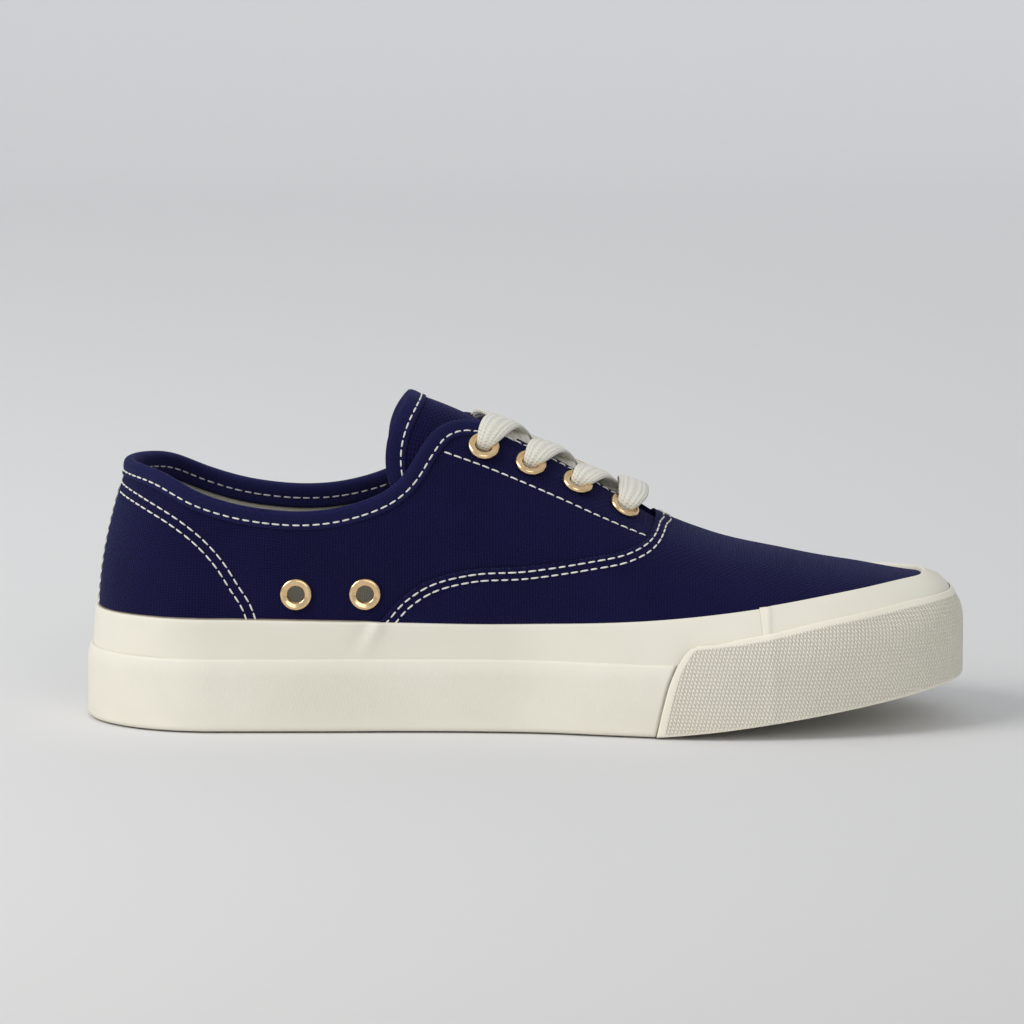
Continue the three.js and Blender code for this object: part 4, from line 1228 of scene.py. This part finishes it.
COLLAR_PROFILE = [
    (5.6, 0.05), (5.68, 0.35), (5.45, 0.62), (5.0, 0.74), (4.6, 0.68), (4.25, 0.56), (3.9, 0.7),
    (3.3, 1.0), (2.4, 1.22), (1.5, 1.25), (0.8, 1.02), (0.35, 0.58), (0.1, 0.0), (0.05, -0.7),
    (0.15, -1.5), (0.5, -2.2), (1.1, -2.7), (2.0, -2.9), (3.2, -2.85), (4.0, -2.65), (4.4, -2.6),
    (5.0, -2.7), (6.4, -2.6), (7.4, -2.35), (7.4, -1.95),
]


def make_collar():
    edge = settle(collar_edge(), 3)
    normals, down = edge_frame(edge, np.array([0, 0, -1]))
    s = lengths(edge)
    swell = (1 + 0.06 * np.sin(s * 0.35) * np.sin(s * 0.13 + 1))[:, None]
    rings = []
    for inward, height in COLLAR_PROFILE:
        if inward > 0.3:
            rings.append(laid(edge, down, inward, height * swell if height > 0 else height))
        else:
            rings.append(edge + down * inward + normals * height)
    rings = np.stack(rings, axis=1)
    around = np.array([row[0] - row[1] for row in COLLAR_PROFILE])
    uv = ring_uv(rings, s, around) * UV_MM
    tube("collar_tape", rings, tape_cloth, uv=uv, replaces=["collar_binding"], slot="binding")
    stitches("collar_stitches", laid(edge, down, 4.2, 0.62), thread)
    stitches("collar_inner_stitches", laid(edge, down, 4.2, -2.62), dull_thread, facing=-1)


# Stitches


STITCH_LENGTH, STITCH_THICK, STITCH_START = 2.4, 0.38, 0.4


def stitches(name, path, material, width=0.52, facing=1):
    """A row of short threads along a path over the canvas, joined as one piece."""
    s = lengths(path)
    verts = []
    faces = []
    count = int((s[-1] - STITCH_START) / STITCH_PITCH)
    sides = 6
    stations = np.array([-0.5, -0.42, -0.2, 0.2, 0.42, 0.5])
    swell = np.array([0.25, 0.8, 1.0, 1.0, 0.8, 0.25])
    rise = np.array([-0.35, -0.02, 0.12, 0.12, -0.02, -0.35])
    centres = STITCH_START + STITCH_PITCH * (np.arange(count) + 0.5)
    jitter = rng.normal(0, 0.06, count)
    sizes = 1 + rng.normal(0, 0.05, count)
    at = centres[:, None] + jitter[:, None] + stations[None, :] * STITCH_LENGTH * sizes[:, None]
    points = np.stack([np.interp(at, s, path[:, k]) for k in range(3)], axis=-1)
    flat = points.reshape(-1, 3)
    _, normals = snap(flat)
    normals = normals.reshape(points.shape) * facing
    along = unit(np.gradient(points, axis=1))
    across = unit(np.cross(normals, along))
    points = points + normals * (rise[None, :, None] + 0.05)
    for i in range(count):
        base = len(verts)
        for j in range(len(stations)):
            for k in range(sides):
                angle = 2 * math.pi * k / sides
                verts.append(points[i, j] + across[i, j] * width / 2 * swell[j] * math.cos(angle)
                             + normals[i, j] * STITCH_THICK / 2 * swell[j] * math.sin(angle))
        for j in range(len(stations) - 1):
            for k in range(sides):
                a = base + j * sides + k
                b = base + j * sides + (k + 1) % sides
                faces.append((a, b, b + sides, a + sides))
        faces.append(tuple(base + k for k in range(sides - 1, -1, -1)))
        faces.append(tuple(base + (len(stations) - 1) * sides + k for k in range(sides)))
    return new_object(name, np.array(verts), faces, material, slot="lace")


def side_path(points2d, side, step=0.8):
    """A path seen from the side, laid on the canvas of one side of the shoe."""
    line = resample(np.array(points2d, float), step)
    x = line[:, 0].copy()
    for _ in range(5):
        x = line[:, 0] - lean(x, line[:, 1])
    reach, ridge = half_reach(x, line[:, 1], np.full(len(x), side), 0.0)
    start = np.stack([line[:, 0], ridge + side * reach, line[:, 1]], axis=1)
    return start


def offset_2d(line, distance):
    along = tangents(line)
    return line + np.stack([-along[:, 1], along[:, 0]], axis=1) * distance


COUNTER_OUTER = [(-122.0, 71.9), (-114.3, 69.1), (-104.5, 64.3), (-96.5, 58.5), (-90.3, 51.7),
                 (-85.6, 44.3), (-82.0, 38.5), (-79.4, 31.0)]
EYESTAY_SEAM = [(-24.6, 83.6), (-10.4, 78.4), (10.5, 69.6), (22.5, 64.2), (39.0, 57.0)]


def make_seams():
    top = vamp_line[-1]
    for side, word in ((-1, "medial"), (1, "lateral")):
        for k, inside in enumerate((1.7, 3.8)):
            line = vamp_line[vamp_line[:, 1] > tape_top(vamp_line[:, 0]) - 5]
            line = offset_2d(line, -inside)
            line = line[line[:, 1] > tape_top(line[:, 0]) - 2.0]
            line = line[line[:, 1] < crown_height(line[:, 0], ridge_y(line[:, 0]) + side * 9.0) - 0.3]
            path = side_path(line, side)
            path, _ = snap(path)
            x_end = path[-1, 0]
            over = []
            start_aside = path[-1, 1] - ridge_y(x_end)
            for share in np.linspace(0, 1, 12)[1:]:
                x = mix(x_end, top[0] + inside + 0.4, smooth(share * 1.4))
                over.append([x, ridge_y(x) + start_aside * (1 - share), 0.0])
            over = np.array(over)
            over[:, 2] = crown_height(over[:, 0], over[:, 1])
            path = resample(settle(np.vstack([path, over]), 2), 0.8)
            path, normals = snap(path)
            stitches(f"vamp_stitches_{word}_{k + 1}", path + normals * 0.95, thread)
        line = spline(COUNTER_OUTER, 60)
        for k, inside in enumerate((0.0, 2.6)):
            moved = offset_2d(line, -inside)
            moved = moved[(moved[:, 1] > tape_top(moved[:, 0]) - 2.0) & (moved[:, 0] > -122.6)]
            path, normals = snap(side_path(moved, side))
            stitches(f"counter_stitches_{word}_{k + 1}", path + normals * 0.15, thread)
        path, normals = snap(side_path(spline(EYESTAY_SEAM, 40), side))
        stitches(f"eyestay_stitches_{word}", path + normals * 0.15, thread)
        x = np.linspace(x_at(0.455), THROAT_FRONT - 7, 80)
        path, _ = over_shoe(x, side * (throat_half(x) + 1.6), 0.15)
        stitches(f"throat_stitches_{word}", path, thread)
    z = np.linspace(COLLAR_BACK - 8.0, TAPE_HEEL_HEIGHT + 0.6, 30)
    path = wall(np.zeros(30), -1.0, z, 0.15)
    for k, aside in enumerate((-1.6, 1.6)):
        stitches(f"heel_stitches_{k + 1}", path + np.array([0.05, aside, 0]), thread, width=0.55)


# Tongue, insole, eyelets and laces


def tongue_back(z):
    """x of the tongue's top edge by height, from the side."""
    top_x = x_at(0.366)
    line = spline([(top_x - back * TONGUE_WIDTH, TONGUE_TOP - down * TONGUE_WIDTH)
                   for back, down in TONGUE_TOP_ROWS], 80)
    order = np.argsort(line[:, 1])
    return np.interp(z, line[order, 1], line[order, 0])


TONGUE_OUTER = -3.2


def tongue_point(s, across, d):
    """s runs from 0 at the top edge to 1 at the root, across from -1 to 1."""
    turn_medial, turn_lateral = 0.185, 0.83
    turn = mix(turn_medial, turn_lateral, (across + 1) / 2)
    p_top = np.full(np.shape(turn), 1.3)
    for _ in range(12):
        q = crown(p_top, turn, TONGUE_OUTER)
        p_top = p_top + (tongue_back(q[..., 2]) - q[..., 0]) / (TOE_CENTRE - HEEL_CENTRE)
    p_root = np.interp(TONGUE_FRONT, [HEEL_CENTRE, TOE_CENTRE], [1, 2])
    middle = 0.5 + (turn - 0.5) * mix(1.0, 0.62, smooth(s * 1.6))
    return crown(mix(p_top, p_root, s), middle, d)


def make_tongue():
    s = np.concatenate([np.linspace(0.012, 0.1, 14, endpoint=False), np.linspace(0.1, 1, 46)])
    across = np.linspace(-1, 1, 61)
    s2, a2 = np.meshgrid(s, across, indexing="ij")
    edge = np.minimum(1, (1 - np.abs(a2)) * 14)
    puff = 0.15 * np.sin(a2 * 5 + s2 * 9) * smooth(s2 * 6)
    outer = tongue_point(s2, a2, TONGUE_OUTER + puff - 0.6 * (1 - edge))
    inner = tongue_point(s2, a2, TONGUE_OUTER - TONGUE + 0.4)
    uv = np.stack([a2 * 22, s2 * 80], axis=-1).reshape(-1, 2) * UV_MM
    sheet = Sheet(outer.reshape(-1, 3), inner.reshape(-1, 3), uv, grid_faces(len(s), len(across)))
    sheet.solid("tongue_sheet", [canvas, lining], bulge=0.3, replaces=["tongue"], slot="canvas")


def make_tongue_tape():
    across = np.linspace(-1, 1, 121)
    ones = np.ones(len(across))
    length = 85.0
    rings = []
    profile = [(5.8, 0.1), (5.8, 0.45), (5.3, 0.6), (4.7, 0.5), (4.4, 0.42), (4.0, 0.55), (2.6, 0.75),
               (1.4, 0.7), (0.6, 0.35), (0.1, -0.3), (0.0, -1.3), (0.1, -2.3), (0.5, -3.0), (1.4, -3.4),
               (3, -3.4), (5, -3.3), (5.8, -3.1), (5.8, -2.4)]
    for inward, height in profile:
        rings.append(tongue_point(inward / length * ones, across, TONGUE_OUTER + height * ones))
    rings = np.stack(rings, axis=1)
    s = lengths(rings[:, 0])
    around = np.array([row[0] - row[1] for row in profile])
    uv = ring_uv(rings, s, around) * UV_MM
    tube("tongue_tape", rings, tape_cloth, uv=uv, replaces=["tongue_binding"], slot="binding")
    path = tongue_point(4.4 / length * ones, across, TONGUE_OUTER + 0.5 * ones)
    stitches("tongue_stitches", path, thread)


def make_insole():
    p = np.concatenate([np.linspace(0, 1, 30, endpoint=False), np.linspace(1, 2, 60, endpoint=False),
                        np.linspace(2, 3, 50)])
    across = np.sin(np.linspace(-math.pi / 2, math.pi / 2, 41))
    x = place_x(p, -WALL - GAP)
    cut = section(x, -WALL - GAP)
    side = np.where(across < 0, 1.0, 0.0)[None, :]
    reach = cut["medial"][:, None] * side + cut["lateral"][:, None] * (1 - side)
    y = cut["ridge"][:, None] + reach * across[None, :] * 0.995
    low = np.broadcast_to((cut["foot"] + GAP)[:, None], y.shape)
    edge = np.minimum(1, (HEEL_ROUND * 1.4 + x[:, None] - HEEL_END) / 90)
    cup = 1.6 * np.abs(across[None, :]) ** 6 * np.clip(edge, 0, 1)
    dish = 0.8 * np.exp(-((x[:, None] + 92) / 22) ** 2) * (1 - np.abs(across[None, :]) ** 3)
    high = low + INSOLE + cup - dish
    xx = np.broadcast_to(x[:, None], y.shape)
    top = np.stack([xx, y, high], axis=-1).reshape(-1, 3)
    bottom = np.stack([xx, y, low], axis=-1).reshape(-1, 3)
    uv = np.stack([xx, y], axis=-1).reshape(-1, 2) * UV_MM
    sheet = Sheet(top, bottom, uv, grid_faces(len(p), len(across)))
    sheet.solid("footbed", [lining, lining], bulge=0.0, replaces=["insole"], slot="lining")


EYELET_PROFILE = [
    (2.45, -2.1), (2.45, -0.3), (2.5, 0.3), (2.62, 0.7), (2.9, 0.95), (3.2, 0.98), (3.5, 1.1), (3.85, 1.26),
    (4.25, 1.24), (4.6, 1.0), (4.82, 0.6), (4.84, 0.2), (4.6, -0.05), (3.1, 0.05), (3.1, -2.1),
]
EYELET_TILTS = (13, 12, 8, 0)


def make_eyelet(name, centre, normal):
    """A rolled flange with a short barrel. The lace pulls the upper ones a little level."""
    if name.startswith("lace"):
        tilt = math.radians(EYELET_TILTS[int(name[-1]) - 1])
        level = unit(np.array([0, 0, 1.0]) - normal * normal[2])
        normal = unit(normal * math.cos(tilt) + level * math.sin(tilt))
        centre = centre + normal * 0.4
    sides = 56
    helper = np.array([0, 0, 1.0]) if abs(normal[2]) < 0.8 else np.array([1.0, 0, 0])
    first = unit(np.cross(helper, normal))
    second = np.cross(normal, first)
    rings = []
    for i in range(sides):
        angle = 2 * math.pi * i / sides
        out = first * math.cos(angle) + second * math.sin(angle)
        rings.append([centre + out * r + normal * h for r, h in EYELET_PROFILE])
    return tube(name + "_ring", np.array(rings), brass, closed=True, replaces=[name], slot="eyelet")


# The lace's middle line. aside: 0 over the ridge, 1 over the eyelet. along: share of the eyelets' pitch.
# high: height over the canvas. wide: share of the lace's width. thick: its thickness.

LACE_WIDTH = 9.4
CROSSING = [
    (0.98, 0.00, -2.6, 0.42, 2.6),
    (0.97, 0.01, -0.6, 0.48, 2.7),
    (0.93, 0.04, 1.2, 0.62, 2.6),
    (0.84, 0.10, 2.5, 0.82, 2.4),
    (0.68, 0.21, 2.8, 0.97, 2.2),
    (0.5, 0.34, 2.2, 1.02, 2.0),
    (0.3, 0.47, 1.2, 1.02, 1.9),
    (0.08, 0.60, 0.1, 1.0, 1.8),
    (-0.15, 0.72, -0.9, 1.0, 1.6),
    (-0.4, 0.82, -1.7, 0.95, 1.4),
    (-0.62, 0.9, -2.5, 0.9, 1.2),
]
BAR = [
    (0.98, 0.00, -2.6, 0.42, 2.6),
    (0.97, 0.00, -0.6, 0.48, 2.6),
    (0.96, 0.01, 1.3, 0.62, 2.4),
    (0.88, 0.03, 3.0, 0.82, 2.2),
    (0.7, 0.05, 4.1, 0.98, 1.9),
    (0.4, 0.06, 4.4, 1.0, 1.8),
    (0.0, 0.06, 4.5, 1.0, 1.8),
]


def lace_rings(rows, count=44, sides=22):
    """Rings of a soft flat ribbon. rows hold x, y, z, width and thickness in millimetres."""
    path = spline(rows, count)
    points, widths, thick = path[:, :3], path[:, 3], path[:, 4]
    along = tangents(points)
    forward = np.array([1.0, 0, -0.35])
    forward = forward / np.linalg.norm(forward)
    across = unit(forward - (along @ forward)[:, None] * along)
    up = unit(np.cross(across, along))
    _, normals = snap(points)
    flip = np.sign((up * normals).sum(axis=1) + 1e-6)
    up = up * (flip[len(flip) // 2])
    angle = np.linspace(0, 2 * math.pi, sides, endpoint=False)
    c = np.sign(np.cos(angle)) * np.abs(np.cos(angle)) ** 0.75
    s = np.sign(np.sin(angle)) * np.abs(np.sin(angle)) ** 0.8
    rings = (points[:, None, :] + across[:, None, :] * (widths / 2)[:, None, None] * c[None, :, None]
             + up[:, None, :] * (thick / 2)[:, None, None] * s[None, :, None])
    length = lengths(points)
    share = np.where(np.sin(angle) >= 0, angle / math.pi, 2 - angle / math.pi)
    return rings, ring_uv(rings, length * UV_MM, share)


def lace_rows(table, row, side):
    start = EYELET_FIRST + row * EYELET_PITCH
    reach = throat_half(start) + EYELET_EDGE
    out = []
    for aside, along, high, wide, thick in table:
        place, _ = over_shoe(start + along * EYELET_PITCH, side * aside * reach, high)
        out.append([*place[0], wide * LACE_WIDTH, thick])
    return out


def far_side(row, i):
    """Lowers a row of the lateral strand over the throat, and widens it near its own eyelet."""
    x, y, z, width, thick = row
    near_hole = math.exp(-((i - 3.2) / 1.8) ** 2)
    return [x - 2.0 * near_hole, y, z - 1.5 * math.exp(-((i - 6.5) / 2.6) ** 2) - 1.4 * near_hole,
            width + 1.5 * near_hole, thick]


def make_laces():
    for row in range(EYELETS - 1):
        for side, word in ((-1, "medial"), (1, "lateral")):
            rows = lace_rows(CROSSING, row, side)
            if side > 0:
                rows = [far_side(place, i) for i, place in enumerate(rows)]
            rings, uv = lace_rings(rows)
            names = [f"lace_crossing_{row + 1}"] if side < 0 else []
            tube(f"lace_{word}_{row + 1}", rings, cotton, uv=uv, replaces=names, slot="lace")
    rows = lace_rows(BAR, EYELETS - 1, -1)
    rows = rows + lace_rows(BAR, EYELETS - 1, 1)[::-1][1:]
    rings, uv = lace_rings(rows, count=80)
    tube("lace_top_bar", rings, cotton, uv=uv, replaces=["lace_bar"], slot="lace")


# Building


def dress_outsole():
    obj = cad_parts["outsole"]
    obj.data.materials.clear()
    obj.data.materials.append(sole_cream)


make_foxing()
make_band()
make_bumper()
make_upper()
make_collar()
make_seams()
make_tongue()
make_tongue_tape()
make_insole()
for eyelet in eyelets:
    make_eyelet(*eyelet)
make_laces()
dress_outsole()

# Floor, backdrop, light and camera


# The paper's colour holds painted light: darker on the floor, lighter up the wall, and on the floor darker
# towards +x, for the lamps' falloff.
FLOOR_TONE_PAINTED_SHADE = (0.63, 0.62, 0.61)
WALL_TONE_PAINTED_LIGHT = (0.94, 0.94, 0.94)


def make_stage():
    mat, tree, shader = nodes_of("paper_painted_light")
    split = tree.nodes.new("ShaderNodeSeparateXYZ")
    link(tree, texture_space(tree, uv=False), split.inputs[0])
    back = maths(tree, "DIVIDE", maths(tree, "ADD", split.outputs["Y"], 0.45), 2.6)
    back = maths(tree, "POWER", maths(tree, "MAXIMUM", maths(tree, "MINIMUM", back, 1.0), 0.0), 0.6)
    # Painted falloff: the floor's colour darkens towards +x.
    painted_falloff = maths(tree, "SUBTRACT", 0.25, maths(tree, "MULTIPLY", back, 0.3))
    side = maths(tree, "SUBTRACT", 1.0, maths(tree, "MULTIPLY", split.outputs["X"], painted_falloff))
    colour = tree.nodes.new("ShaderNodeVectorMath")
    colour.operation = "SCALE"
    link(tree, ramp(tree, back, FLOOR_TONE_PAINTED_SHADE, WALL_TONE_PAINTED_LIGHT), colour.inputs[0])
    link(tree, side, colour.inputs["Scale"])
    link(tree, colour.outputs[0], shader.inputs["Base Color"])
    shader.inputs["Roughness"].default_value = 0.75
    shader.inputs["Specular IOR Level"].default_value = 0.2
    width, near, far, round_r, tall = 6.0, -4.0, 2.6, 1.0, 4.0
    profile = [(near, 0.0), (far - round_r, 0.0)]
    profile += [(far - round_r + round_r * math.sin(a), round_r - round_r * math.cos(a))
                for a in np.linspace(0, math.pi / 2, 24)[1:]]
    profile.append((far, tall))
    verts = [(x, y, z) for x in (-width, width) for y, z in profile]
    count = len(profile)
    faces = [(j, j + 1, count + j + 1, count + j) for j in range(count - 1)]
    mesh = bpy.data.meshes.new("paper")
    mesh.from_pydata(verts, [], faces)
    mesh.materials.append(mat)
    mesh.shade_smooth()
    obj = bpy.data.objects.new("paper", mesh)
    bpy.context.scene.collection.objects.link(obj)


def area_light(name, place, target, size, power, colour=(1, 1, 1)):
    data = bpy.data.lights.new(name, "AREA")
    data.shape = "RECTANGLE"
    data.size, data.size_y = size
    data.energy = power
    data.color = colour
    obj = bpy.data.objects.new(name, data)
    obj.location = place
    obj.rotation_euler = (Vector(target) - Vector(place)).to_track_quat("-Z", "Y").to_euler()
    bpy.context.scene.collection.objects.link(obj)


def make_light():
    world = bpy.data.worlds.new("studio")
    world.use_nodes = True
    world.node_tree.nodes["Background"].inputs["Color"].default_value = (0.93, 0.96, 1.0, 1)
    world.node_tree.nodes["Background"].inputs["Strength"].default_value = 0.55
    bpy.context.scene.world = world
    area_light("key_left", (-1.3, -0.7, 1.25), (0, 0, 0.04), (1.1, 1.1), 20.0, (1.0, 0.985, 0.96))
    area_light("top_soft", (0.1, 0.1, 1.7), (0, 0, 0), (1.8, 1.4), 1.0, (1.0, 1.0, 1.0))
    area_light("front_fill", (0.5, -1.9, 0.9), (0, 0, 0.05), (1.2, 0.9), 6.5, (0.99, 0.99, 1.0))


CAMERA_RISE = math.radians(8.6)
CAMERA_FAR = 1.750
CAMERA_LOOK = Vector((-3.8 * MM, 0.0, 61.8 * MM))
SENSOR, PIXELS_A_MM, PHOTO_WIDTH = 36.0, 3.30, 1024


def make_camera():
    data = bpy.data.cameras.new("photo_view")
    data.sensor_width = SENSOR
    data.lens = PIXELS_A_MM * CAMERA_FAR / MM * SENSOR / PHOTO_WIDTH
    obj = bpy.data.objects.new("photo_view", data)
    back = Vector((0, -math.cos(CAMERA_RISE), math.sin(CAMERA_RISE)))
    obj.location = CAMERA_LOOK + back * CAMERA_FAR
    obj.rotation_euler = (-back).to_track_quat("-Z", "Y").to_euler()
    data.clip_start, data.clip_end = 0.05, 30
    bpy.context.scene.collection.objects.link(obj)
    bpy.context.scene.camera = obj


make_stage()
make_light()
make_camera()
bpy.context.scene.view_settings.view_transform = "Standard"
